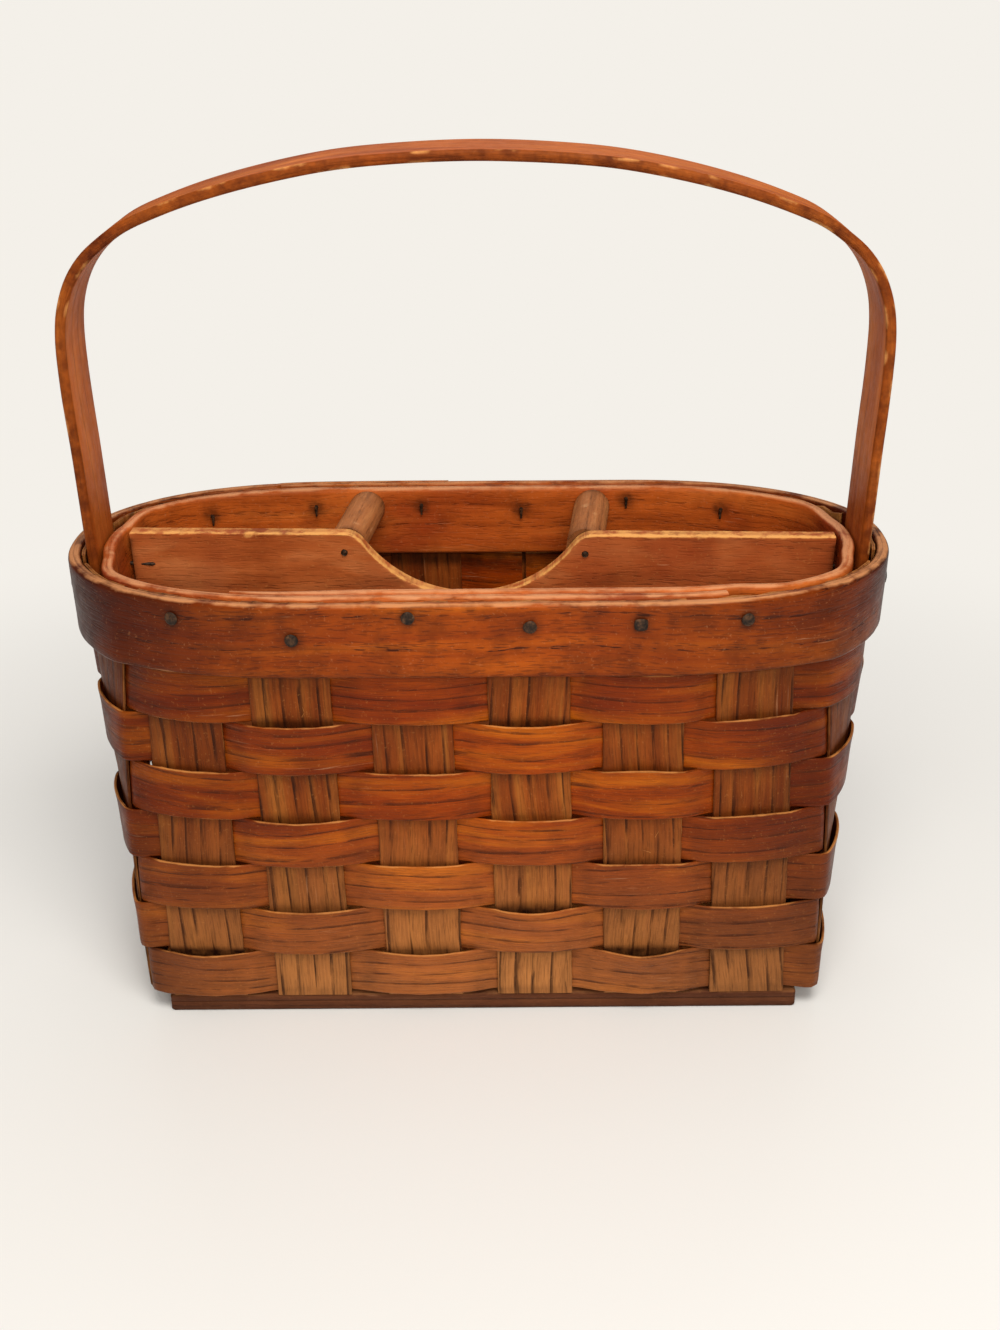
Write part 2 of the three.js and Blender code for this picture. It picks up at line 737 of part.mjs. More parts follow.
// Stakes, from the lower board to the top of the rim. The foot of an end stake is folded
// in, and lies between the boards.
const stakeTop = rimHeight - stakeTopDrop;
const rowLevels = Array.from({ length: rowCount }, (_, i) => firstRowBottom + rowPitch * (i + 1));
function stakeGeometry(index) {
  const lines = stakeLines(index);
  const isEnd = awayFromEnd(index) <= endSpan;
  const bends = isEnd || !isStraight(index);
  const levels = bends ? [stakeFoot, ...rowLevels, stakeTop] : [stakeFoot, stakeTop];
  if (isEnd) levels.unshift(stakeFoot);
  return bentBox(lines.length - 1, (u, v, w) => {
    const step = Math.round(w * (levels.length - 1));
    const line = lines[Math.round(u * (lines.length - 1))];
    const folded = isEnd && step < 2;
    const height = levels[step] + (folded ? v * stakeThickness : 0);
    const inset = (v - 0.5) * stakeThickness;
    const place = placeBeside(index, (line * stakeWidth) / 2, folded ? stakeFoot : height);
    const point = wallPoint(place, height, folded && step < 1 ? 0 : inset);
    if (folded && step < 1) point.x -= Math.sign(point.x) * footTurnIn;
    return point;
  }, levels.length - 1);
}

function stakeName(index) {
  const groups = [["front", frontStakes], ["right", sideStakes], ["back", frontStakes], ["left", sideStakes]];
  let local = index;
  for (const [side, count] of groups) {
    if (local < count) return `stake_${side}_${local + 1}`;
    local -= count;
  }
  return `stake_${index}`;
}
const throughRim = (name) => /^(rim|handle|divider|dowel_hoop)_nail/.test(name);
const throughStake = (name) => throughRim(name) || name.startsWith("board_nail");
for (let i = 0; i < stakeCount; i += 1) {
  addPiece(stakeName(i), drill(stakeGeometry(i), throughStake), stakeFinish);
}

// Weavers. Each row is one splint that goes once round, and its two ends meet out of sight
// behind a back stake. Its inset is the seat on a stake's face, and it changes sides
// between two stakes.
const firstBackStake = rightMiddle + (sideStakes + 1) / 2;
for (let row = 0; row < rowCount; row += 1) {
  const low = firstRowBottom + rowPitch * row + (rowPitch - weaverWidth) / 2;
  const high = low + weaverWidth;
  const start = firstBackStake + 1 + ((firstBackStake + row) % 2);
  const finish = start + stakeCount;
  const beside = (index, widths) => placeBeside(
    index,
    widths * (stakeWidth / 2 + Math.abs(widths) * weaverEdgeRun),
    (low + high) / 2,
  );
  const insets = new Map();
  for (let index = start; index <= finish; index += 1) {
    const outside = (index + row) % 2 === 0 ? -1 : 1;
    for (const widths of stakeLines(index)) {
      insets.set(beside(index, widths), outside * (weaverSeat + weaverCrown * (1 - widths ** 2)));
    }
    insets.set(index + 0.5, 0);
  }
  insets.set(start + weaverEndGap, weaverSeat + weaverCrown);
  insets.set(finish - weaverEndGap, weaverSeat + weaverCrown);
  const places = [...insets.keys()]
    .filter((place) => place > start && place < finish)
    .sort((a, b) => a - b);
  const geometry = band(
    places,
    (place) => insets.get(place) - weaverThickness / 2,
    (place) => insets.get(place) + weaverThickness / 2,
    low,
    high,
  );
  addPiece(`weaver_row_${row + 1}`, geometry, weaverFinish);
}

// Outer hoop: one band whose thinned ends lap over each other at the back.
const outerLapFrom = backPlace(outerLapStart + outerLapLength);
const outerLapTo = backPlace(outerLapStart);
function outerHoopGeometry() {
  const from = outerLapFrom;
  const to = outerLapTo + stakeCount;
  const lap = outerLapTo - outerLapFrom;
  const steps = [from + lap, from + lap + lapGap, to - lap - lapGap, to - lap];
  const places = wallPlaces(from, to, hoopMiddle, steps);
  const thin = (share) => featherThickness + (hoopThickness - fit - 2 * featherThickness) * share;
  const outer = (place) => {
    const share = (place - (to - lap)) / lap;
    if (share < -1e-9) return rimFaceInset;
    return rimFaceInset + thin(share) + fit;
  };
  const inner = (place) => {
    const share = (place - from) / lap;
    if (share > 1 + 1e-9) return outerHoopInset;
    return rimFaceInset + thin(share);
  };
  return band(places, outer, inner, hoopBottom, rimHeight);
}
addPiece("rim_outer_hoop", drill(outerHoopGeometry(), throughRim), hoopFinish);

// Inner hoop: it starts at the left of the front, goes once round and ends under its start.
function innerHoopGeometry() {
  const ramp = [0, 0.25, 0.5, 0.75, 1].map((share) => lapTo + lapGap + rampPlaces * share);
  const places = wallPlaces(lapFrom, lapTo + stakeCount, hoopMiddle, ramp);
  return band(places, innerHoopOuterFace, innerHoopFace, hoopBottom, rimHeight);
}
addPiece("rim_inner_hoop", drill(innerHoopGeometry(), throughRim), hoopFinish);

// Handle bow, swept along its centreline.
function handleGeometry() {
  const foot = hoopBottom + handleFootRise;
  const legX = (height) => wallPoint(rightMiddle, height, legInset).x;
  const topX = legX(rimHeight);
  const crown = rimHeight + handleRise;
  const half = [new THREE.Vector3(0, 0, crown)];
  for (const [inset, drop] of bowCorner) half.push(new THREE.Vector3(topX - inset, 0, crown - drop));
  const bow = new THREE.CatmullRomCurve3(
    [...half].reverse().map((p) => new THREE.Vector3(-p.x, 0, p.z)).concat(half.slice(1)),
    false,
    "centripetal",
  );
  const arch = bow.getSpacedPoints(46);
  const leg = (sign) => [foot, (foot + rimHeight) / 2, rimHeight]
    .map((height) => new THREE.Vector3(sign * legX(height), 0, height));
  const line = leg(-1).concat(arch, leg(1).reverse());
  return bentBox(line.length - 1, (u, v, w) => {
    const index = Math.round(u * (line.length - 1));
    const before = line[Math.max(index - 1, 0)];
    const after = line[Math.min(index + 1, line.length - 1)];
    const direction = after.clone().sub(before).normalize();
    const outward = new THREE.Vector3(-direction.z, 0, direction.x);
    return line[index].clone()
      .addScaledVector(outward, (w - 0.5) * handleThickness)
      .add(new THREE.Vector3(0, (v - 0.5) * handleWidth, 0));
  });
}
const throughLeg = (name) => /^(handle|divider)_nail/.test(name);
addPiece("handle_bow", drill(handleGeometry(), throughLeg), handleFinish);

// Divider: its outline is drawn in its own plane, then turned into place.
function dividerGeometry() {
  const shape = new THREE.Shape();
  const [left, right] = dividerEnds;
  shape.moveTo(left.foot, dividerFoot);
  shape.lineTo(right.foot, dividerFoot);
  shape.lineTo(right.top, dividerTop);
  const centreHeight = dividerTop - scoopDepth + scoopRadius;
  const shoulderRise = dividerTop - scoopShoulder - centreHeight;
  const shoulderReach = Math.sqrt((scoopRadius + scoopShoulder) ** 2 - shoulderRise ** 2);
  const turn = Math.atan2(shoulderReach, -shoulderRise);
  for (let i = 0; i <= 4; i += 1) {
    const angle = (i / 4) * turn;
    shape.lineTo(
      scoopShift + shoulderReach - scoopShoulder * Math.sin(angle),
      dividerTop - scoopShoulder + scoopShoulder * Math.cos(angle),
    );
  }
  for (let i = 1; i < 20; i += 1) {
    const angle = turn * (1 - i / 10);
    shape.lineTo(
      scoopShift + scoopRadius * Math.sin(angle),
      centreHeight - scoopRadius * Math.cos(angle),
    );
  }
  for (let i = 4; i >= 0; i -= 1) {
    const angle = (i / 4) * turn;
    shape.lineTo(
      scoopShift - shoulderReach + scoopShoulder * Math.sin(angle),
      dividerTop - scoopShoulder + scoopShoulder * Math.cos(angle),
    );
  }
  shape.lineTo(left.top, dividerTop);
  shape.closePath();
  const board = new THREE.ExtrudeGeometry(shape, { depth: dividerThickness, bevelEnabled: false });
  board.translate(0, 0, -dividerThickness / 2);
  board.rotateX(Math.PI / 2);
  board.rotateZ(-dividerSkew);
  board.translate(0, dividerCentreY, 0);
  return board;
}
const intoDivider = (name) => /^(divider|dowel)_nail/.test(name);
addPiece("divider_board", drill(dividerGeometry(), intoDivider), boardFinish);

// Dowels, with each end cut parallel to what it butts against.
function dowelGeometry({ start, end }) {
  const rod = new THREE.CylinderGeometry(dowelDiameter / 2, dowelDiameter / 2, 1, 20);
  const positions = rod.getAttribute("position");
  const side = new THREE.Vector3(dowelAxis.y, -dowelAxis.x, 0);
  for (let i = 0; i < positions.count; i += 1) {
    const across = positions.getX(i);
    const height = positions.getZ(i);
    const offset = side.clone().multiplyScalar(across).add(new THREE.Vector3(0, 0, height));
    let point;
    if (positions.getY(i) < 0) {
      const run = -offset.dot(acrossDivider) / dowelAxis.dot(acrossDivider);
      point = start.clone().add(offset).addScaledVector(dowelAxis, run);
    } else {
      point = end.clone().add(offset);
      point.addScaledVector(dowelAxis, (backFaceY(point.x, point.z) - point.y) / dowelAxis.y);
    }
    positions.setXYZ(i, point.x, point.y, point.z);
  }
  return rod;
}
for (const dowel of dowels) {
  const names = [`dowel_nail_${dowel.side}`, `dowel_hoop_nail_${dowel.side}`];
  addPiece(dowel.name, drill(dowelGeometry(dowel), (name) => names.includes(name)), dowelFinish);
}

// Nails.
for (const nail of nails) {
  const geometry = nailGeometry(nail.length, nail.clinched);
  geometry.applyMatrix4(facing(nail.direction));
  geometry.translate(...nail.seat.toArray());
  addPiece(nail.name, geometry, nailFinish);
}

export default caddy;
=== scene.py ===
import bisect
import math
from functools import lru_cache, partial

import bmesh
import bpy
from mathutils import Matrix, Vector, noise


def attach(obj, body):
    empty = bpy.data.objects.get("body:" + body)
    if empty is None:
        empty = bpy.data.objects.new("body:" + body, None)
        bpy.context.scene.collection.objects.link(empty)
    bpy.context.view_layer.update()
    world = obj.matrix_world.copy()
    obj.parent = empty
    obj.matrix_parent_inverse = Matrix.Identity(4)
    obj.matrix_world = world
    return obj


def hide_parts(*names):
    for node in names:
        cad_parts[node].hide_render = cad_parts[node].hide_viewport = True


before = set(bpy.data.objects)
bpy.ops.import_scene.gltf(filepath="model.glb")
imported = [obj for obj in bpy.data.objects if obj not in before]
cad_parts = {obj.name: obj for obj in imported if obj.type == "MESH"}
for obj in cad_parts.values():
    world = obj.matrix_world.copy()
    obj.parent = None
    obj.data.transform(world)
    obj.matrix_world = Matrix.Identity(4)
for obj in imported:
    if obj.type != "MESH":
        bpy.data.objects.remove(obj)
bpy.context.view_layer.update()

# Camera, fitted to the photograph.
CAMERA_PLACE = (0.0093, -0.7122, 0.5044)
CAMERA_PITCH = 0.4477
CAMERA_YAW = 0.0009
CAMERA_ROLL = -0.0070
CAMERA_LENS = 41.71

# Sizes of the wooden parts and the nails, named as in the part's source.
RIM_HEIGHT = 233.0
HOOP_HEIGHT = 37.0
HOOP_THICKNESS = 6.2
HOOP_BOTTOM = RIM_HEIGHT - HOOP_HEIGHT
TOP_HALF_LENGTH = 192.6
TOP_HALF_DEPTH = 78.6
RIM_STRAIGHT_HALF = 75.0
RIM_END_POWER = 0.89
BOARD_HALF_LENGTH = 161.0
BOARD_HALF_DEPTH = 71.5
LOWER_BOARD = 9.5
INNER_BOARD = 6.0
BASE_HALF_LENGTH = 171.2
BASE_HALF_DEPTH = 70.7
END_OVERHANG = 11.0
END_BOW = 4.0
FOOT_TURN_IN = 33.0
CORNER_RADIUS = 4.0
STAKE_WIDTH = 38.0
STAKE_THICKNESS = 1.6
FRONT_STAKES = 6
SIDE_STAKES = 3
STAKE_COUNT = 2 * (FRONT_STAKES + SIDE_STAKES)
FIRST_BACK = FRONT_STAKES + SIDE_STAKES
RIGHT_MIDDLE = 7
LEFT_MIDDLE = 16
STAKE_SHIFT = (-2.2, -3.5, -1.5, -0.5, -1.2, -2.1)
STAKE_DROP = 0.8
FOLD = 1.6
FRONT_CORNER_INSET = 4.5
SIDE_CORNER_INSET = 6.0
RIM_PITCH_RATIO = 0.97
RIM_LEAN = 4.0
WEAVER_WIDTH = 26.0
WEAVER_THICKNESS = 1.4
WEAVER_SEAT = 1.8
WEAVER_CROWN = 1.4
WEAVER_END_GAP = 0.02
WEAVE_INSIDE = WEAVER_SEAT + WEAVER_CROWN + WEAVER_THICKNESS / 2
ROW_COUNT = 7
FIRST_ROW = 11.5
ROW_PITCH = (HOOP_BOTTOM - FIRST_ROW) / ROW_COUNT
FIT = 0.3
STAKE_FOOT = LOWER_BOARD + FIT
INNER_LOW = STAKE_FOOT + STAKE_THICKNESS + FIT
INNER_TOP = INNER_LOW + INNER_BOARD
INNER_BOARD_INSET = 4.2
OUTER_HOOP_INSET = -1.2
RIM_FACE_INSET = OUTER_HOOP_INSET - HOOP_THICKNESS
INNER_HOOP_INSET = 1.2
HOOP_MIDDLE = (RIM_HEIGHT + HOOP_BOTTOM) / 2
INNER_LAP_HALF = 114.0
INNER_LAP_RAMP = 34.0
INNER_LAP_FEATHER = 60.0
OUTER_LAP = (-17.0, -107.0)
FEATHER_THICKNESS = 1.6
LAP_GAP = 0.04
NEAREST_PLACE = 0.05
LEG_RAMP = 0.7
HANDLE_WIDTH = 38.0
HANDLE_THICKNESS = 5.2
HANDLE_FOOT = HOOP_BOTTOM + 2
CROWN = RIM_HEIGHT + 182
DIVIDER_THICKNESS = 9.2
DIVIDER_SKEW = math.radians(2.2)
DIVIDER_CENTRE_Y = 8.5
DIVIDER_FIT = 1.2
DIVIDER_TOP = RIM_HEIGHT - 1
DIVIDER_FOOT = INNER_TOP + FIT
SCOOP_RADIUS = 64.0
SCOOP_DEPTH = 33.0
SCOOP_SHOULDER = 12.0
SCOOP_SHIFT = -5.4
DOWEL_RADIUS = 9.5
DOWEL_HEIGHT = RIM_HEIGHT - 10.5
DOWEL_SLANT = math.radians(6.6)
DOWEL_FRONT_X = {"left": -67, "right": 53}
NAIL_RADIUS = 1.0
NAIL_HEAD = 3.15
NAIL_BITE = 13.0
CLINCH_SEAT = 2 * FIT + NAIL_RADIUS
RIM_NAIL_HEIGHT = RIM_HEIGHT - 10
HANDLE_NAIL_Y = -10.0
BOARD_NAIL_INSET = 16.0


def smooth(low, high, value):
    """A soft step from 0 at low to 1 at high."""
    share = min(max((value - low) / (high - low), 0.0), 1.0)
    return share * share * (3 - 2 * share)


def hills(x, y=0.0, z=0.0):
    """Smooth noise from -1 to 1, the same in each run."""
    return noise.noise(Vector((x, y, z)))


def easing(t):
    """How much the start, the slope there, the end and the slope there count at t of a
    cubic curve."""
    square, cube = t ** 2, t ** 3
    return 2 * cube - 3 * square + 1, cube - 2 * square + t, 3 * square - 2 * cube, cube - square


def running_lengths(points):
    """How far along a line of points each of them lies."""
    lengths = [0.0]
    for before, here in zip(points, points[1:]):
        lengths.append(lengths[-1] + (here - before).length)
    return lengths


# The wall: a ruled surface between the outline of the foot and the outline of the rim.
class Outline:
    """A closed line, mirrored twice from its front right quarter, found by length."""

    def __init__(self, quarter):
        right = quarter + [Vector((p.x, -p.y)) for p in reversed(quarter)]
        left = [Vector((-p.x, p.y)) for p in reversed(right)]
        self.points = right + left
        self.lengths = running_lengths(self.points)
        self.total = self.lengths[-1]

    def at(self, length):
        wrapped = length % self.total
        high = min(bisect.bisect_right(self.lengths, wrapped), len(self.lengths) - 1)
        low = high - 1
        span = self.lengths[high] - self.lengths[low]
        share = (wrapped - self.lengths[low]) / span if span > 0 else 0.0
        return self.points[low].lerp(self.points[high], share)


def base_quarter():
    points = [Vector((0.0, -BASE_HALF_DEPTH))]
    steps = 12
    for step in range(steps + 1):
        angle = step / steps * math.pi / 2
        points.append(Vector((
            BASE_HALF_LENGTH - CORNER_RADIUS + CORNER_RADIUS * math.sin(angle),
            -BASE_HALF_DEPTH + CORNER_RADIUS - CORNER_RADIUS * math.cos(angle),
        )))
    return points + [Vector((BASE_HALF_LENGTH, 0.0))]


def rim_quarter():
    points = [Vector((0.0, -TOP_HALF_DEPTH))]
    steps = 90
    for step in range(steps + 1):
        angle = step / steps * math.pi / 2
        reach = max(math.sin(angle), 0.0) ** RIM_END_POWER
        depth = max(math.cos(angle), 0.0) ** RIM_END_POWER
        points.append(Vector((
            RIM_STRAIGHT_HALF + (TOP_HALF_LENGTH - RIM_STRAIGHT_HALF) * reach,
            -TOP_HALF_DEPTH * depth,
        )))
    return points


BASE = Outline(base_quarter())
RIM = Outline(rim_quarter())


def stake_stations(outline, front_pitch, side_pitch, lean):
    """The middles of the stakes along an outline: front, right, back and left ones."""
    half_way = outline.total / 2
    front = [i - (FRONT_STAKES - 1) / 2 for i in range(FRONT_STAKES)]
    side = [i - (SIDE_STAKES - 1) / 2 for i in range(SIDE_STAKES)]
    side_lean = lean * 2 / (SIDE_STAKES + 1)
    return [
        *(step * front_pitch - lean + shift for step, shift in zip(front, STAKE_SHIFT)),
        *(half_way / 2 + step * (side_pitch + side_lean) for step in side),
        *(half_way + step * front_pitch + lean for step in front),
        *(1.5 * half_way + step * (side_pitch - side_lean) for step in side),
    ]


FRONT_SPAN = 2 * (BOARD_HALF_LENGTH - FRONT_CORNER_INSET) - STAKE_WIDTH
SIDE_SPAN = 2 * (BOARD_HALF_DEPTH - SIDE_CORNER_INSET) - STAKE_WIDTH
BASE_FRONT_PITCH = FRONT_SPAN / (FRONT_STAKES - 1)
BASE_SIDE_PITCH = SIDE_SPAN / (SIDE_STAKES - 1)
RIM_FRONT_PITCH = BASE_FRONT_PITCH * RIM_PITCH_RATIO
RIM_SIDE_PITCH = (RIM.total / 2 - (FRONT_STAKES - 1) * RIM_FRONT_PITCH) / (SIDE_STAKES + 1)
BASE_STATIONS = stake_stations(BASE, BASE_FRONT_PITCH, BASE_SIDE_PITCH, 0)
RIM_STATIONS = stake_stations(RIM, RIM_FRONT_PITCH, RIM_SIDE_PITCH, RIM_LEAN)


def station_length(stations, total, place):
    """The length along an outline at a place, which counts the stakes as they stand."""
    turns = math.floor(place / STAKE_COUNT)
    local = place - turns * STAKE_COUNT
    index = math.floor(local)
    start = stations[index]
    after = stations[index + 1] if index + 1 < STAKE_COUNT else stations[0] + total
    return turns * total + start + (after - start) * (local - index)


# The end walls bow out a little between the foot and the rim.
EDGE_PLACE = (STAKE_WIDTH / 2 + FIT) / min(BASE_SIDE_PITCH + END_OVERHANG, RIM_SIDE_PITCH)


def away_from_end(place):
    local = place % STAKE_COUNT
    return min(abs(local - RIGHT_MIDDLE), abs(local - LEFT_MIDDLE))


def bow_at(height):
    rise = max(height - FIRST_ROW, 0.0) / (RIM_HEIGHT - FIRST_ROW)
    return 4 * END_BOW * rise * (1 - rise)


@lru_cache(maxsize=None)
def wall_line(place):
    """The foot, the head and the bow of the wall at a place, and how each changes along it."""
    def foot(at):
        return BASE.at(station_length(BASE_STATIONS, BASE.total, at))

    def head(at):
        return RIM.at(station_length(RIM_STATIONS, RIM.total, at))

    def bow(at):
        share = 1 - smooth(1 + EDGE_PLACE, 2 - EDGE_PLACE, away_from_end(at))
        return math.copysign(share, head(at).x)

    parts = (foot, head, bow)
    return [at(place) for at in parts] + [at(place + 0.02) - at(place - 0.02) for at in parts]


def wall_point(place, height, inset):
    """A point of the wall, moved inwards by the inset. A place counts the stakes from the
    front left one."""
    foot, head, bow, foot_along, head_along, bow_along = wall_line(round(place, 4))
    share = height / RIM_HEIGHT
    out = bow_at(height)
    here = foot.lerp(head, share)
    along = foot_along.lerp(head_along, share)
    along.x += bow_along * out
    along.normalize()
    return Vector((here.x + bow * out - along.y * inset, here.y + along.x * inset, height))


def wall_inward(place, height):
    """The direction that goes square through the wall, from outside."""
    along = wall_point(place + 0.05, height, 0) - wall_point(place - 0.05, height, 0)
    up = wall_point(place, height + 5, 0) - wall_point(place, height - 5, 0)
    return up.cross(along).normalized()


@lru_cache(maxsize=None)
def stake_gap(index, sign):
    """The pitch from a stake to its neighbour, at the foot and at the rim."""
    def pitch(stations, total):
        middle = station_length(stations, total, index)
        return abs(station_length(stations, total, index + sign * 0.5) - middle) * 2

    return pitch(BASE_STATIONS, BASE.total), pitch(RIM_STATIONS, RIM.total)


def stake_pitch(index, sign, height):
    foot, head = stake_gap(index, sign)
    return foot + (head - foot) * height / RIM_HEIGHT


def place_beside(index, distance, height):
    """The place at a distance in mm from the middle of a stake."""
    sign = -1 if distance < 0 else 1
    return index + distance / stake_pitch(index, sign, height)


def place_at(low, high, wanted, axis):
    """The place on the rim whose middle line has the wanted X or Y."""
    rising = wall_point(high, HOOP_MIDDLE, 0)[axis] > wall_point(low, HOOP_MIDDLE, 0)[axis]
    for _ in range(30):
        middle = (low + high) / 2
        if (wall_point(middle, HOOP_MIDDLE, 0)[axis] > wanted) == rising:
            high = middle
        else:
            low = middle
    return (low + high) / 2


def front_place(x):
    return place_at(-0.6, FRONT_STAKES - 0.4, x, 0)


def back_place(x):
    return place_at(RIGHT_MIDDLE + 1.5, LEFT_MIDDLE - 1.5, x, 0)


def end_place(sign, y):
    middle = RIGHT_MIDDLE if sign > 0 else LEFT_MIDDLE
    return place_at(middle - 0.8, middle + 0.8, y, 1)


# The hoops' faces. The inner hoop bulges over the handle's legs and laps along the front.
LEG_EDGE = wall_point(end_place(1, HANDLE_WIDTH / 2), RIM_HEIGHT, INNER_HOOP_INSET)
LEG_HOLLOW = wall_point(RIGHT_MIDDLE, RIM_HEIGHT, INNER_HOOP_INSET).x - LEG_EDGE.x
LEG_INSET = INNER_HOOP_INSET + LEG_HOLLOW + HANDLE_THICKNESS / 2
LEG_HALF_SPAN = (HANDLE_WIDTH / 2 + FIT) / RIM_SIDE_PITCH
LAP_FROM = front_place(-INNER_LAP_HALF)
LAP_TO = front_place(INNER_LAP_HALF)
RAMP_PLACES = INNER_LAP_RAMP / RIM_FRONT_PITCH


def leg_bulge(place):
    rise = LEG_HOLLOW + HANDLE_THICKNESS + FIT
    start = LEG_HALF_SPAN + NEAREST_PLACE
    return rise * (1 - smooth(start, start + LEG_RAMP, away_from_end(place)))


def inner_hoop_outside(place):
    doubled = 1 - smooth(LAP_TO + LAP_GAP, LAP_TO + LAP_GAP + RAMP_PLACES, place)
    return INNER_HOOP_INSET + leg_bulge(place) + doubled * (HOOP_THICKNESS + FIT)


def inner_hoop_inside(place):
    share = min(max((place - LAP_FROM) * RIM_FRONT_PITCH / INNER_LAP_FEATHER, 0.0), 1.0)
    thickness = FEATHER_THICKNESS + (HOOP_THICKNESS - FEATHER_THICKNESS) * share
    return inner_hoop_outside(place) + thickness


def inside_face(place):
    """The inset of the face that is seen from inside the basket."""
    local = place % STAKE_COUNT
    in_start = LAP_FROM <= local <= LAP_TO + LAP_GAP + RAMP_PLACES
    return inner_hoop_inside(local if in_start else local + STAKE_COUNT)


# Colours and finishes.
def linear(code):
    """An sRGB hex colour as the linear values that a socket takes."""
    values = []
    for i in (1, 3, 5):
        share = int(code[i:i + 2], 16) / 255
        values.append(share / 12.92 if share <= 0.04045 else ((share + 0.055) / 1.055) ** 2.4)
    return (*values, 1.0)


def add_node(tree, kind, inputs=None, stops=None, out=0, **settings):
    """Adds a node with its settings, its links or values by socket, and a ramp's stops.
    Gives the output that is asked for, where the node has one."""
    made = tree.nodes.new("ShaderNode" + kind)
    for key, value in settings.items():
        setattr(made, key, value)
    for socket, source in (inputs or {}).items():
        if isinstance(source, bpy.types.NodeSocket):
            tree.links.new(source, made.inputs[socket])
        else:
            made.inputs[socket].default_value = source
    if stops:
        ramp = made.color_ramp
        while len(ramp.elements) < len(stops):
            ramp.elements.new(0.5)
        for element, (position, colour) in zip(ramp.elements, stops):
            element.position = position
            element.color = linear(colour) if isinstance(colour, str) else (colour,) * 3 + (1.0,)
    return made.outputs[out] if made.outputs else None


def emptied(owner):
    """Clears the node tree of a material or a world, and gives add_node for that tree."""
    owner.use_nodes = True
    owner.node_tree.nodes.clear()
    return partial(add_node, owner.node_tree)


# The stain is paler near the foot, painted shade darkens both ends, and scuffed fibres are pale.
PALER_FOOT = "#b87a44"
ENDS_SHADE = "#785a5a"
SCUFFED = "#d8a27a"
ONE_LINE = 0.314  # the scale at which a wave makes one line for each unit


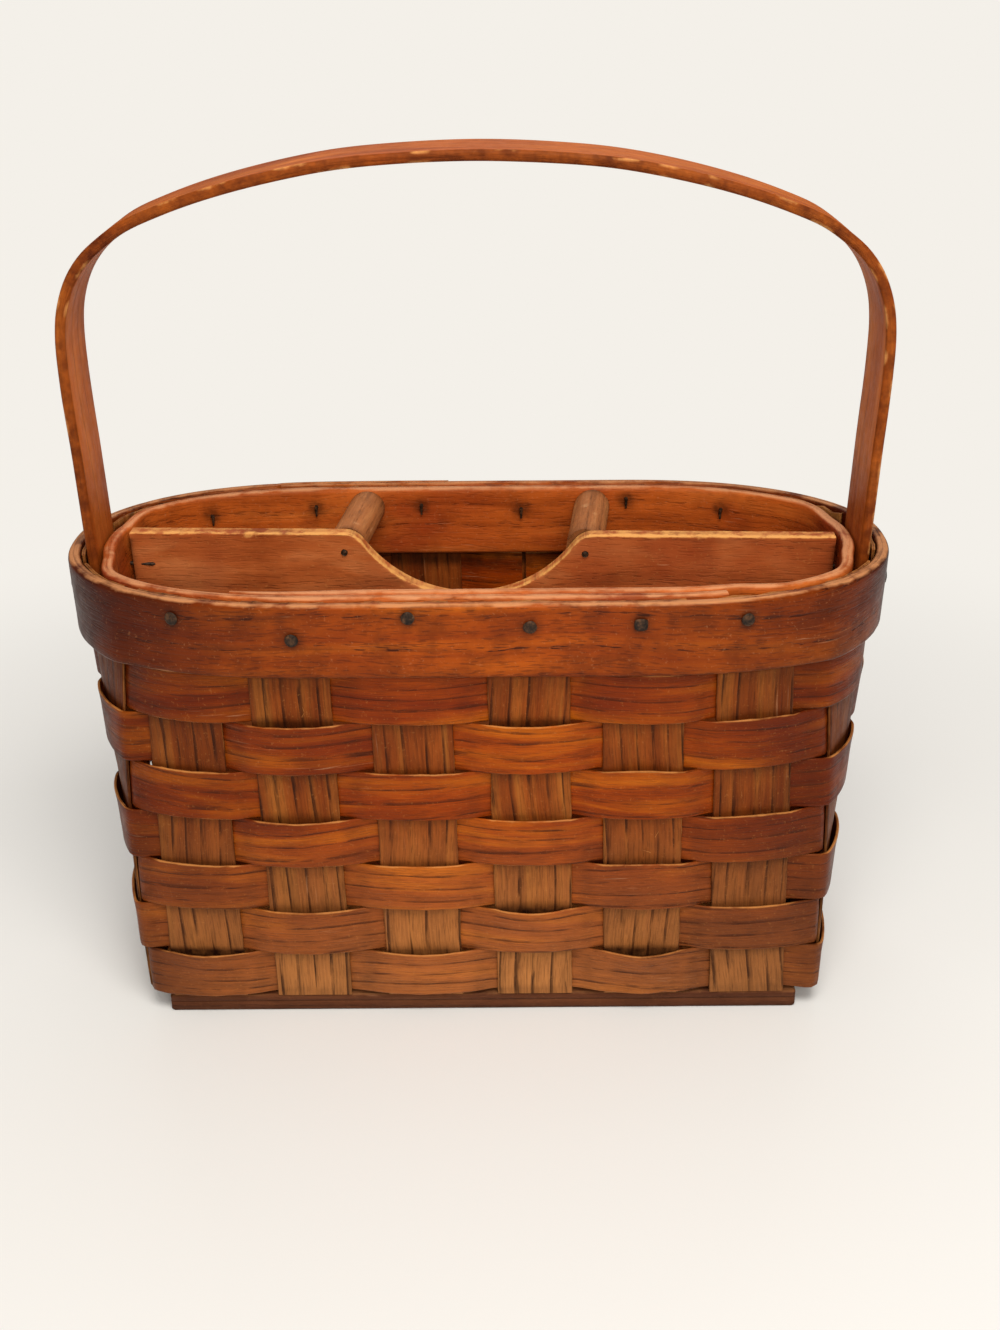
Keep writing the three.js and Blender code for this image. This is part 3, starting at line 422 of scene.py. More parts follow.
def stained_wood(name, tones, dark, worn, figure_mm, ring_mm, pore_mm, rings, pores, wear,
                 rough, stain, stain_share, ends, coat, low=0.0, scuffs=0.25, rub_mm=16,
                 blotched=0.16, dirt_and_shade_colour="#220d06"):
    """Wood under a thin stain and varnish. The grain runs along U of the map named grain,
    which is laid out in metres. figure_mm, ring_mm and pore_mm give the size of the broad
    figure, of the dark growth lines and of the pores, as (along, across) the grain."""
    material = bpy.data.materials.new(name)
    add = emptied(material)
    spot = add("TexCoord", out="Object")
    axes = add("SeparateXYZ", {0: spot}).node.outputs
    grain = add("UVMap", uv_map="grain")
    part = {key: add("Attribute", out="Fac", attribute_name=key) for key in ("edge", "dirt_and_shade_mask")}

    # What runs with the grain: its size in mm, detail, twist and shift, and its ramp. The
    # lines are one wave across the grain, dark on one side and fading on the other.
    along_mm, across_mm = ring_mm
    for key, (along, across), detail, twist, shift, stops in (
        ("figure", figure_mm, 3, 0.6, 0.0, list(zip((0.30, 0.50, 0.70), tones))),
        ("line", ring_mm, 3, 7.0, 3.1, [(0.0, 1.0), (0.09, 0.9), (0.20, 0.16), (0.50, 0.0)]),
        ("breaks", (along_mm * 0.16, across_mm * 0.7), 2, 0.0, 1.9, [(0.40, 0.1), (0.56, 1.0)]),
        ("fine", (along_mm * 0.3, across_mm * 0.12), 2, 0.2, 7.7, [(0.42, 0.0), (0.70, 1.0)]),
        ("pores", pore_mm, 1, 0.0, 5.3, [(0.56, 0.0), (0.64, 1.0)]),
        ("fibres", (34, 1.5), 3, 0.2, 2.6, [(0.36, 0.66), (0.62, 1.0)]),
        ("scuffs", (26, 1.1), 2, 0.3, 9.4, [(0.66, 0.0), (0.74, 1.0)]),
    ):
        inputs = {"Detail": detail, "Distortion": twist, "Vector": add("Mapping", {
            "Vector": grain, "Location": (shift, shift * 0.7, shift),
            "Scale": (1000 / along, 1000 / across, 1),
        })}
        if key == "line":
            pattern = add("TexWave", inputs | {
                "Scale": ONE_LINE, "Detail Scale": 1.1, "Detail Roughness": 0.55,
            }, out="Fac", wave_type="BANDS", bands_direction="Y", wave_profile="SAW")
        else:
            pattern = add("TexNoise", inputs | {"Scale": 1.0, "Roughness": 0.55})
        part[key] = add("ValToRGB", {"Fac": pattern}, stops)

    # What lies in clouds and flecks, whichever way the grain runs: size in mm, detail, ramp.
    for key, size_mm, detail, stops in (
        ("stained", 85, 3, [(0.44, 0.0), (0.66, 1.0)]),
        ("mottled", 6.2, 3, [(0.25, 0.55), (0.65, 1.0)]),
        ("blotches", 15, 4, [(0.46, 0.0), (0.66, 1.0)]),
        ("flecks", 1.5, 2, [(0.62, 0.0), (0.72, 1.0)]),
        ("rubbed", rub_mm, 4, [(0.34, 0.4), (0.58, 1.0)]),
        ("handled", 42, 3, [(0.52, 0.0), (0.66, 1.0)]),
    ):
        part[f"{key} clouds"] = add("TexNoise", {
            "Vector": spot, "Scale": 1000 / size_mm, "Detail": detail, "Roughness": 0.62,
        })
        part[key] = add("ValToRGB", {"Fac": part[f"{key} clouds"]}, stops)

    # What changes along the object: paler wood towards the foot, and painted shade at both ends.
    part["away"] = add("Math", {0: axes["X"]}, operation="ABSOLUTE")
    part["height"] = axes["Z"]
    for key, source, near, far in (
        ("paler_foot", "height", 0.12, 0.015), ("shaded_ends", "away", 0.03, 0.19),
    ):
        part[key] = add("MapRange", {
            "Value": part[source], "From Min": near, "From Max": far,
        })

    # Lines break off, pores are strung along them, dirt and painted shade lie in specks, the
    # painted shade at the ends lies in patches, arrises are rubbed in broken stretches and
    # fibres are scuffed where hands go.
    for key, source, share, rest in (
        ("strung", "line", 0.6, 0.4), ("patchy", "stained clouds", 1.2, 0.4),
    ):
        part[key] = add("Math", {0: part[source], 1: share, 2: rest},
                        operation="MULTIPLY_ADD")
    for key, other in (
        ("line", "breaks"), ("pores", "strung"), ("dirt_and_shade_mask", "mottled"), ("rubbed", "fibres"),
        ("edge", "rubbed"), ("scuffs", "handled"), ("shaded_ends", "patchy"),
    ):
        part[key] = add("Math", {0: part[key], 1: part[other]}, operation="MULTIPLY")
    part["bare"] = add("ValToRGB", {"Fac": part["edge"]}, [(0.24, 0.0), (0.62, 1.0)])

    # The layers of colour over the broad figure, in the order in which they lie.
    colour = part["figure"]
    for key, amount, code, blend in (
        ("stained", stain_share, stain, "MIX"), ("paler_foot", low, PALER_FOOT, "MIX"),
        # The first layer below is painted shade, multiplied in at both ends.
        ("shaded_ends", ends, ENDS_SHADE, "MULTIPLY"), ("line", rings, dark, "MIX"),
        ("fine", rings * 0.3, dark, "MIX"), ("pores", pores, dark, "MIX"),
        ("blotches", blotched, dark, "MIX"), ("flecks", 0.15, worn, "MIX"),
        # The first layer below is dirt and painted shade together.
        ("dirt_and_shade_mask", 0.78, dirt_and_shade_colour, "MIX"), ("bare", wear, worn, "MIX"),
        ("scuffs", scuffs, SCUFFED, "MIX"),
    ):
        share = add("Math", {0: part[key], 1: amount}, operation="MULTIPLY")
        colour = add("Mix", {0: share, 6: colour, 7: linear(code)}, out=2,
                     data_type="RGBA", blend_type=blend)

    # Height of the grain: lines and pores are sunk a little.
    height = 0.0
    for key, rise in (("line", -0.6), ("pores", -0.9), ("fine", -0.4), ("mottled clouds", 0.5)):
        height = add("Math", {0: part[key], 1: rise, 2: height}, operation="MULTIPLY_ADD")
    bump = add("Bump", {"Height": height, "Strength": 0.6, "Distance": 0.00035})
    polish = add("MapRange", {
        "Value": part["mottled clouds"], "From Min": 0.3, "From Max": 0.7,
        "To Min": rough[0], "To Max": rough[1],
    })
    shader = add("BsdfPrincipled", {
        "Base Color": colour, "Roughness": polish, "Normal": bump, "IOR": 1.5,
        "Specular IOR Level": 0.15, "Specular Tint": linear("#ffdcb8"), "Coat Weight": coat,
        "Coat Roughness": 0.35,
    })
    add("OutputMaterial", {"Surface": shader})
    return material


# The woods. Their pores are 0.1 to 0.3 mm wide, and are drawn 0.7 to 0.9 mm wide, so that
# they show.

# Split ash, stained and varnished by hand: open pores and dark growth lines run the length
# of each splint. The weavers are redder and the stakes browner, with lines further apart.
WEAVER_ASH = stained_wood(
    "split_ash_weaver", ("#792a03", "#9a3f05", "#be620e"), "#320f04", "#c98a4c",
    figure_mm=(130, 12), ring_mm=(130, 7.0), pore_mm=(8, 0.7), rings=0.72, pores=0.5,
    wear=0.65, rough=(0.36, 0.54), stain="#661a08", stain_share=0.6, ends=0.7, low=0.5,
    coat=0.04)
STAKE_ASH = stained_wood(
    "split_ash_stake", ("#702f0c", "#8e4617", "#a86428"), "#280e06", "#c08448",
    figure_mm=(220, 9), ring_mm=(200, 8.5), pore_mm=(10, 0.7), rings=0.85, pores=0.55,
    wear=0.5, rough=(0.44, 0.62), stain="#5c1c09", stain_share=0.45, ends=0.5, low=0.9,
    coat=0.02)

# Oak, steamed and bent: close grain with short pore dashes, polished by handling outside
# and redder and more scuffed inside. The inside is also paler, which is painted light, and
# has little painted shade at the ends.
HOOP_OAK = stained_wood(
    "bent_oak_hoop", ("#863505", "#a2490a", "#b65e14"), "#340e04", "#cb8e60",
    figure_mm=(140, 14), ring_mm=(330, 13), pore_mm=(7, 0.9), rings=0.35, pores=0.95,
    wear=0.75, rough=(0.32, 0.48), stain="#6a1a08", stain_share=0.58, ends=0.9, coat=0.06,
    blotched=0.4)
HOOP_OAK_INSIDE_LIT = stained_wood(
    "bent_oak_hoop_inside_painted_lighter", ("#9a4616", "#b6581e", "#ca6e2e"), "#451608", "#cf946a",
    figure_mm=(120, 16), ring_mm=(330, 14), pore_mm=(7, 0.9), rings=0.25, pores=0.5,
    wear=0.75, rough=(0.38, 0.54), stain="#7a2010", stain_share=0.7, ends=0.05, scuffs=0.4,
    coat=0.03, blotched=0.25)

# Steam-bent ash with little varnish left: an orange, dull face with long faint lines, and
# chipped edges, darkened with painted shade.
HANDLE_ASH = stained_wood(
    "steam_bent_ash_handle", ("#b4581a", "#ca6a22", "#dc7e30"), "#5a240c", "#dc9c5c",
    figure_mm=(120, 14), ring_mm=(340, 12), pore_mm=(9, 0.8), rings=0.3, pores=0.4,
    wear=0.8, rough=(0.44, 0.6), stain="#963c10", stain_share=0.5, ends=0.0, coat=0.0,
    rub_mm=9, dirt_and_shade_colour="#4a1a0a")

# Sawn pine, stained and worn to bare wood along its arrises: broad soft figure and scuffs.
# The foot has the same cut, but is dark with dirt.
BOARD_PINE = stained_wood(
    "sawn_board_stained", ("#964820", "#ae5c2e", "#c07444"), "#4a1c0e", "#dca25c",
    figure_mm=(60, 28), ring_mm=(240, 24), pore_mm=(7, 0.8), rings=0.25, pores=0.35,
    wear=0.95, rough=(0.44, 0.62), stain="#84301a", stain_share=0.45, ends=0.0, scuffs=0.5,
    coat=0.0, rub_mm=6)
FOOT_BOARD = stained_wood(
    "sawn_board_dirty", ("#4f2b1c", "#603622", "#70442c"), "#2c130c", "#9a6840",
    figure_mm=(240, 12), ring_mm=(240, 9), pore_mm=(7, 0.8), rings=0.4, pores=0.4,
    wear=0.4, rough=(0.5, 0.68), stain="#40201a", stain_share=0.4, ends=0.2, coat=0.0)

# Turned birch, worn dull: pale, with fine straight grain and hardly any varnish.
DOWEL_BIRCH = stained_wood(
    "turned_birch_worn", ("#955a30", "#ad6d40", "#c08452"), "#52301c", "#d8a678",
    figure_mm=(90, 7), ring_mm=(150, 8), pore_mm=(9, 0.7), rings=0.35, pores=0.4,
    wear=0.6, rough=(0.46, 0.64), stain="#7a4826", stain_share=0.4, ends=0.0, coat=0.0)


def oxidised_iron():
    """Iron nails gone dull brown and black: rough oxide over a little bare metal. Its grains
    are 2.4 mm across, several times as coarse as real ones, so that they show."""
    material = bpy.data.materials.new("oxidised_iron_nail")
    add = emptied(material)
    crust = add("TexNoise", {
        "Vector": add("TexCoord", out="Object"), "Scale": 420.0, "Detail": 4.0, "Roughness": 0.6,
    })
    shader = add("BsdfPrincipled", {
        "Base Color": add("ValToRGB", {"Fac": crust}, [
            (0.35, "#1a120d"), (0.52, "#35261c"), (0.70, "#5c3f2a"),
        ]),
        "Roughness": add("MapRange", {"Value": crust, "To Min": 0.42, "To Max": 0.7}),
        "Normal": add("Bump", {"Height": crust, "Strength": 0.6, "Distance": 0.0003}),
        "Metallic": 0.15, "Specular IOR Level": 0.2,
    })
    add("OutputMaterial", {"Surface": shader})
    return material


NAIL_IRON = oxidised_iron()


# Pieces.
def show(name, data):
    """Puts an object that holds the data into the scene."""
    shown = bpy.data.objects.new(name, data)
    bpy.context.scene.collection.objects.link(shown)
    return shown


def mesh_object(mesh, name, material):
    """Turns a bmesh into an object in the scene."""
    data = bpy.data.meshes.new(name)
    mesh.to_mesh(data)
    mesh.free()
    data.materials.append(material)
    return show(name, data)


def finish_piece(mesh, name, material, slot, *nodes, sharp=48):
    """Turns a bmesh in millimetres into the object that stands for the named nodes."""
    bmesh.ops.scale(mesh, vec=(0.001, 0.001, 0.001), verts=mesh.verts)
    bmesh.ops.recalc_face_normals(mesh, faces=mesh.faces)
    piece = mesh_object(mesh, name, material)
    piece.data.shade_smooth()
    piece.data.set_sharp_from_angle(angle=math.radians(sharp))
    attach(piece, "root")
    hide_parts(*nodes)


def cut_across(mesh, place, normal):
    """Cuts new edges right through a mesh where a plane meets it."""
    bmesh.ops.bisect_plane(mesh, geom=mesh.verts[:] + mesh.edges[:] + mesh.faces[:],
                           plane_co=place, plane_no=normal)


def finish_layers(mesh):
    """What the woods read: the map along the grain, the wear of the edges, and the dirt and
    painted shade.
    """
    return (mesh.loops.layers.uv.new("grain"), mesh.verts.layers.float.new("edge"),
            mesh.verts.layers.float.new("dirt_and_shade_mask"))


def bent_strip(along, across, lay, seed, thickness):
    """A flat strip, cut from a grid, thickened and then laid. lay(u, v, side) gives the
    point for u along and v across, both in mm, the edge's wear, and the dirt and painted
    shade. A side is 1, -1, or 0 for the middle line of the edge, which is rubbed less than
    its arrises."""
    strip = bmesh.new()
    steps = len(along) - 1
    rows = len(across) - 1
    bmesh.ops.create_grid(strip, x_segments=steps, y_segments=rows, size=0.5)
    bmesh.ops.solidify(strip, geom=strip.faces[:], thickness=1.0)
    for level in (-0.5, 0.5):
        cut_across(strip, (0, 0, level), (0, 0, 1))
    grain, edge, dirt_and_shade_mask = finish_layers(strip)
    flat = {}
    for vert in strip.verts:
        i = round((vert.co.x + 0.5) * steps)
        j = round((vert.co.y + 0.5) * rows)
        flat[vert] = (along[i], across[j], round(1 - 2 * abs(vert.co.z)))
    for vert, (u, v, side) in flat.items():
        vert.co, worn, vert[dirt_and_shade_mask] = lay(u, v, side)
        vert[edge] = worn if side else worn * 0.5
    for face in strip.faces:
        for loop in face.loops:
            u, v, side = flat[loop.vert]
            drift = 5 * hills(u * 0.011, seed * 4.3)
            over = (v + side * thickness / 2 + drift) / 1000
            loop[grain].uv = (u / 1000 + seed * 1.37, over + seed * 0.233)
    return strip


def edge_rows(width, soft, spacing=6.0):
    """Positions across a strip: close together at both edges, to round the arrises."""
    near = [0.0, soft * 0.2, soft * 0.55, soft]
    count = max(2, round((width - 2 * soft) / spacing))
    middle = [soft + (width - 2 * soft) * i / count for i in range(1, count)]
    return near + middle + [width - value for value in reversed(near)]


def rounding(near, soft):
    """How much of a strip's thickness is left at a distance from its nearer edge."""
    share = min(max(near / soft, 0.0), 1.0)
    return 0.45 + 0.55 * math.sqrt(1 - (1 - share) ** 2)


def add_splinter(mesh, start, lift, run):
    """A hair of wood that has sprung loose: short cones in a row, bent away from the face."""
    edge = mesh.verts.layers.float["edge"]
    width, parts, taper = 0.7, 4, 0.85
    for part in range(parts):
        thick, thin = (width * (1 - (part + end) / parts * taper) / 2 for end in (0, 1))
        hair = bmesh.ops.create_cone(mesh, cap_ends=True, segments=6, radius1=thick,
                                     radius2=thin, depth=1.0)["verts"]
        for vert in hair:
            share = (part + vert.co.z + 0.5) / parts
            vert.co = start + run * share + lift * share ** 2 + Vector((vert.co.x, 0, vert.co.y))
            vert[edge] = 1.0


def shadow_below_hoops(height):
    """Painted shadow on the inside of the splints, close under the inner hoop."""
    return smooth(HOOP_BOTTOM - 12, HOOP_BOTTOM - 6, height)


# Stakes.
STAKE_NAMES = [
    f"stake_{side}_{number + 1}"
    for side, count in (("front", FRONT_STAKES), ("right", SIDE_STAKES),
                        ("back", FRONT_STAKES), ("left", SIDE_STAKES))
    for number in range(count)
]
SPLINT_SOFT = 0.9

# Where the upper edge of a weaver has sprung: its row and the stake that it crosses, and how
# far the edge stands off and up, in mm.
SPRUNG_EDGES = {
    (0, 0): (1.8, 0.0), (0, 2): (0.8, 0.0), (0, 4): (3.0, 0.0), (1, 1): (0.6, 0.0),
    (1, 3): (1.8, -0.6), (2, 4): (0.6, 1.6), (3, 1): (0.9, 0.0), (3, 5): (0.3, 0.9),
    (4, 4): (0.5, 1.5), (5, 1): (1.2, 0.7), (5, 3): (1.1, 0.0), (5, 5): (0.3, 0.9),
}

# Splinters of the stakes: stake, mm beside its middle, height, run along and up, lift.
STAKE_SPLINTERS = [
    (1, 4, 171.5, 2.5, 5.5, 2.2), (1, 7, 172.0, -1.5, 7.0, 1.0), (4, 3, 98.0, 4.5, 11.0, 1.0),
    (4, 6, 95.0, -6.0, 3.5, 1.6), (3, -9, 65.0, 1.0, 8.0, 0.8), (5, -5, 124.0, -1.5, 7.5, 1.0),
]


def stake(index):
    top = RIM_HEIGHT - STAKE_DROP
    turned_in = away_from_end(index) <= 1
    tab = FOOT_TURN_IN - FOLD if turned_in else 0.0
    arc = FOLD * math.pi / 2 if turned_in else 0.0
    upright = STAKE_FOOT + STAKE_THICKNESS / 2 + FOLD if turned_in else STAKE_FOOT

    def folded(u, v, side):
        """The foot of an end stake: flat between the boards, then bent upwards."""
        turn = max(u - tab, 0.0) / FOLD
        half = STAKE_THICKNESS / 2 * rounding(min(v, STAKE_WIDTH - v), SPLINT_SOFT)
        place = place_beside(index, v - STAKE_WIDTH / 2, STAKE_FOOT)
        point = wall_point(place, STAKE_FOOT, 0)
        reach = FOLD * (1 - math.sin(turn)) + max(tab - u, 0.0) - side * half * math.sin(turn)
        point.x -= math.copysign(reach, point.x)
        point.z += STAKE_THICKNESS / 2 + FOLD * (1 - math.cos(turn)) - side * half * math.cos(turn)
        return point, 0.0, 0.5

    def lay(u, v, side):
        if u < tab + arc - 0.001:
            return folded(u, v, side)
        height = upright + u - tab - arc
        near = min(v, STAKE_WIDTH - v)
        distance = v - STAKE_WIDTH / 2

        # Both edges waver and fray a little, and the top is torn off unevenly.
        if near < SPLINT_SOFT * 0.1:
            distance += math.copysign(0.5, distance) * hills(height * 0.045, index * 3.7, 2)
            distance += 0.225 * hills(height * 0.4, index * 9.1, v)
        if height > top - 0.1:
            height -= 2.8 * (0.5 + 0.5 * hills(v * 0.5, index * 5.3, 1)) ** 2
        place = place_beside(index, distance, height)
        half = STAKE_THICKNESS / 2 * rounding(near, SPLINT_SOFT)
        cup = 0.12 * hills(height * 0.02, v * 0.06, index * 2.2)
        point = wall_point(place, height, cup - side * half)

        # Painted shade darkens the stake between two weavers and behind the hoops, it is darker
        # along both edges, and painted shadow lies on the inside below the hoops.
        row = (height - FIRST_ROW) / ROW_PITCH
        into = abs(row - round(row)) * ROW_PITCH
        dirt_and_shade = math.exp(-into / 2.2) * 0.75 if height < HOOP_BOTTOM else 0.4
        dirt_and_shade = max(dirt_and_shade, 0.7 * math.exp(-near / 0.8))
        if side < 0 and height < HOOP_BOTTOM:
            dirt_and_shade = max(dirt_and_shade, shadow_below_hoops(height))

        # The pocket behind a sprung edge is darkened with painted shade, from just below that edge
        # to just above.
        lifted = SPRUNG_EDGES.get((int(row - 0.15), index), (0.0, 0.0))[0]
        if side > 0 and row > 0.5:
            above = (row - 0.15) % 1 - 0.86
            dirt_and_shade = max(dirt_and_shade, min(lifted, 1.3) * (1 - smooth(0.0, 0.07, above)))
        worn = 0.55 * math.exp(-near / 0.5)
        if height > RIM_HEIGHT - 4:
            worn, dirt_and_shade = 0.9, 0.1
        return point, worn, dirt_and_shade

    along = [tab + arc + (top - upright) * i / 72 for i in range(73)]
    if turned_in:
        along = [tab * i / 4 for i in range(4)] + [tab + arc * i / 5 for i in range(5)] + along
    mesh = bent_strip(along, edge_rows(STAKE_WIDTH, SPLINT_SOFT), lay, index + 1,
                      STAKE_THICKNESS)
    for owner, beside, height, sideways, upwards, spring in STAKE_SPLINTERS:
        if owner == index:
            place = place_beside(index, beside, height)
            start = wall_point(place, height, -STAKE_THICKNESS / 2 + 0.2)
            along_wall = wall_point(place + 0.05, height, 0) - wall_point(place, height, 0)
            run = along_wall.normalized() * sideways + Vector((0, 0, upwards))
            add_splinter(mesh, start, wall_inward(place, height) * -spring, run)
    name = STAKE_NAMES[index]
    finish_piece(mesh, f"{name}_splint", STAKE_ASH, "stake_splint", name)


for stake_index in range(STAKE_COUNT):
    stake(stake_index)


# Weavers.
def weave_offset(place, row, height, crown, kink):
    """How far the weaver lies from the stakes' middle surface, inwards positive, and how
    much it is tucked between two stakes there. A kink of 0 is a round arch over a stake,
    and 1 is one with a sharp ridge."""
    index = round(place)
    sign = -1 if place < index else 1
    pitch = stake_pitch(index % STAKE_COUNT, sign, height)
    away = abs(place - index) * pitch
    half = STAKE_WIDTH / 2
    facing = -1 if (index + row) % 2 == 0 else 1
    share = away / half
    if share <= 1:
        rise = 1 - share ** 2 + kink * (share ** 2 - share)
        return facing * (WEAVER_SEAT + crown * rise), 0.0
    gap = pitch - STAKE_WIDTH
    t = (away - half) / gap
    slope = (kink - 2) * crown / half * gap / WEAVER_SEAT
    here, rise, there, fall = easing(t)
    curve = here - there + slope * rise + slope * fall
    return facing * WEAVER_SEAT * curve, min(1.0, 2 * t)


def weaver(row):
    low = FIRST_ROW + ROW_PITCH * row + (ROW_PITCH - WEAVER_WIDTH) / 2
    middle = low + WEAVER_WIDTH / 2
    start = FIRST_BACK + 1 + (FIRST_BACK + row) % 2
    first, last = start + WEAVER_END_GAP, start + STAKE_COUNT - WEAVER_END_GAP
    places = [first, last]
    for crossing in range(start, start + STAKE_COUNT + 1):
        index = crossing % STAKE_COUNT
        pitch = stake_pitch(index, 1, middle)
        places += [place_beside(index, step / 6 * STAKE_WIDTH / 2, middle) - index + crossing
                   for step in range(-6, 7)]
        places += [crossing + (STAKE_WIDTH / 2 + (pitch - STAKE_WIDTH) * step / 7) / pitch
                   for step in range(1, 7)]
    places = sorted({round(p, 4) for p in places if first <= p <= last})
    along = running_lengths([wall_point(place, middle, 0) for place in places])
    place_of = dict(zip(along, places))

    def lay(u, v, side):
        near = min(v, WEAVER_WIDTH - v)
        upper = v > WEAVER_WIDTH / 2
        place = place_of[u]
        turn = place % STAKE_COUNT
        crossing = round(place)
        lifted, raised = SPRUNG_EDGES.get((row, crossing % STAKE_COUNT), (0.0, 0.0))
        crown = WEAVER_CROWN * (1 + 0.35 * hills(crossing * 1.9, row * 2.3)) + 0.25 * lifted
        kink = max(0.0, 1.8 * hills(crossing * 2.3, row * 1.7, 4.4))
        offset, tuck = weave_offset(place, row, low + v, crown, min(kink, 0.9))

        # The splint sways and tilts, its edges are ragged, and the upper one curls off the
        # stake. A sprung edge lies down again within a third of a pitch to each side.
        sway = 1.5 * hills(turn * 0.8, row * 0.3, 7)
        tilt = 0.35 * hills(turn * 2.2, row * 1.7, 3)
        ragged = 0.3 * hills(turn * 9, row * 3.3, 5 if upper else 9)
        outward = 1 if offset < 0 else -1
        curl = 0.45 * smooth(WEAVER_WIDTH - 5, WEAVER_WIDTH, v) * (1 - tuck)
        sprung = max(0.0, 1 - 8.8 * (place - crossing) ** 2)
        sprung *= smooth(WEAVER_WIDTH - 16, WEAVER_WIDTH, v)
        curl += lifted * sprung
        offset -= outward * curl
        height = low + v + sway * 0.6 + (v / WEAVER_WIDTH - 0.5) * tilt
        height += (ragged if near < 0.3 else 0) + raised * sprung
        half = WEAVER_THICKNESS / 2 * rounding(near, SPLINT_SOFT)
        point = wall_point(place, height, offset - side * half)
        worn = math.exp(-near / 0.7) * (0.95 if upper else 0.6)
        # Painted shade where the weaver tucks behind a stake and along its edges, most where it
        # tucks, and painted shadow on the inside below the hoops.
        dirt_and_shade = 0.3 * tuck ** 2
        dirt_and_shade = max(dirt_and_shade, 0.4 * math.exp(-near / 1.2) * (0.4 + 0.6 * tuck))
        if side < 0:
            dirt_and_shade = max(dirt_and_shade, shadow_below_hoops(low + v))
        return point, worn * (1 - tuck), dirt_and_shade

    mesh = bent_strip(along, edge_rows(WEAVER_WIDTH, SPLINT_SOFT), lay, row + 31,
                      WEAVER_THICKNESS)
    name = f"weaver_row_{row + 1}"
    finish_piece(mesh, f"{name}_splint", WEAVER_ASH, "weaver_splint", name)


for weaver_row in range(ROW_COUNT):
    weaver(weaver_row)


# Hoops. Each nail leaves a dark stain round its head and its clinched tip. It stands beside
# and above or below the middle of its stake, by so many mm.
FRONT_SHIFT = [(3.2, 1), (4, -6.5), (1, 4.2), (1, -0.7), (-2.3, 0.1), (-7.9, 0.5)]
RIM_NAILS = [(i + along / RIM_FRONT_PITCH, RIM_NAIL_HEIGHT + up)
             for i, (along, up) in enumerate(FRONT_SHIFT)]
RIM_NAILS += [(FIRST_BACK + i + (2 - along) / RIM_FRONT_PITCH, RIM_NAIL_HEIGHT - up / 2)
              for i, (along, up) in enumerate(FRONT_SHIFT)]
HOOP_SOFT = 2.2


def hoop(name, start, finish, outside, inside, open_side, material, seed, extra):
    """A band between two insets that change along the rim. open_side tells which of its
    faces is free at a place, and extra lists places where its faces step or bend."""
    count = round((finish - start) * 18)
    places = [start + (finish - start) * i / count for i in range(count + 1)]
    places = sorted({round(p, 4) for p in places + extra})
    along = running_lengths([wall_point(place, RIM_HEIGHT, 0) for place in places])
    place_of = dict(zip(along, places))

    def lay(u, v, side):
        near = min(v, HOOP_HEIGHT - v)
        place = place_of[u]
        outer, inner = outside(place), inside(place)
        middle, half = (outer + inner) / 2, (inner - outer) / 2
        half *= rounding(near, HOOP_SOFT)
        half -= 0.12 * (0.5 + hills(u * 0.03, v * 0.05, seed))
        height = HOOP_BOTTOM + v
        nick = max(0.0, hills(u * 0.07, seed * 3.1, v * 0.02) - 0.42) * 1.5
        top = v > HOOP_HEIGHT / 2
        if near < 1.5:
            height += (-1 if top else 1) * (nick + 0.15 + 0.15 * hills(u * 0.015, seed))
        point = wall_point(place, height, middle - side * half)

        # Both arrises of the top edge are rubbed bare, the seam between the hoops and the lower
        # edge are darker, and the lower arris is scuffed beside the front left corner.
        scuffed = 0.8 * math.exp(-((place % STAKE_COUNT - STAKE_COUNT + 0.25) / 0.3) ** 2)
        worn = math.exp(-near / 0.9) * (1.0 if top else 0.6 + scuffed)
        dirt_and_shade = 0.0 if top else 0.5 * math.exp(-near / 2.5)
        if top and side == 0:
            worn = 1.35
        if top and side == -open_side(place):
            seam = 0.15 + 0.7 * hills(u * 0.035, seed, 2)
            worn *= 0.8
            dirt_and_shade = min(max(seam, 0.0), 0.5) * math.exp(-near / 0.5)
        for nail_place, nail_height in RIM_NAILS:
            along_rim = (place - nail_place + 1) % STAKE_COUNT - 1
            away = math.hypot(along_rim * RIM_FRONT_PITCH, height - nail_height)
            dirt_and_shade = max(dirt_and_shade, 0.95 * math.exp(-max(away - 3.2, 0.0) / 1.5))
        return point, worn, dirt_and_shade

    across = edge_rows(HOOP_HEIGHT, HOOP_SOFT, spacing=2.6)
    mesh = bent_strip(along, across, lay, seed, HOOP_THICKNESS)
    finish_piece(mesh, f"{name}_bent", material, "rim_hoop", name)


OUTER_LAP_FROM, OUTER_LAP_TO = (back_place(x) for x in OUTER_LAP)


def outer_hoop():
    start = OUTER_LAP_FROM
    finish = OUTER_LAP_TO + STAKE_COUNT
    lap = OUTER_LAP_TO - OUTER_LAP_FROM

    def thin(share):
        """The thickness of a lapping end, from its feather to where the other end starts."""
        return FEATHER_THICKNESS + (HOOP_THICKNESS - FIT - 2 * FEATHER_THICKNESS) * share

    def outside(place):
        share = (place - (finish - lap)) / lap
        return RIM_FACE_INSET if share < -1e-6 else RIM_FACE_INSET + thin(share) + FIT

    def inside(place):
        share = (place - start) / lap
        return OUTER_HOOP_INSET if share > 1 + 1e-6 else RIM_FACE_INSET + thin(share)

    steps = [start + lap, start + lap + LAP_GAP, finish - lap - LAP_GAP, finish - lap]
    hoop("rim_outer_hoop", start, finish, outside, inside, lambda place: 1, HOOP_OAK, 41, steps)


def inner_hoop():
    ramp = [LAP_TO + LAP_GAP + RAMP_PLACES * i / 6 for i in range(7)]
    hoop("rim_inner_hoop", LAP_FROM, LAP_TO + STAKE_COUNT, inner_hoop_outside,
         inner_hoop_inside, lambda place: -1 if place < LAP_FROM + STAKE_COUNT else 1,
         HOOP_OAK_INSIDE_LIT, 43, ramp)


outer_hoop()
inner_hoop()


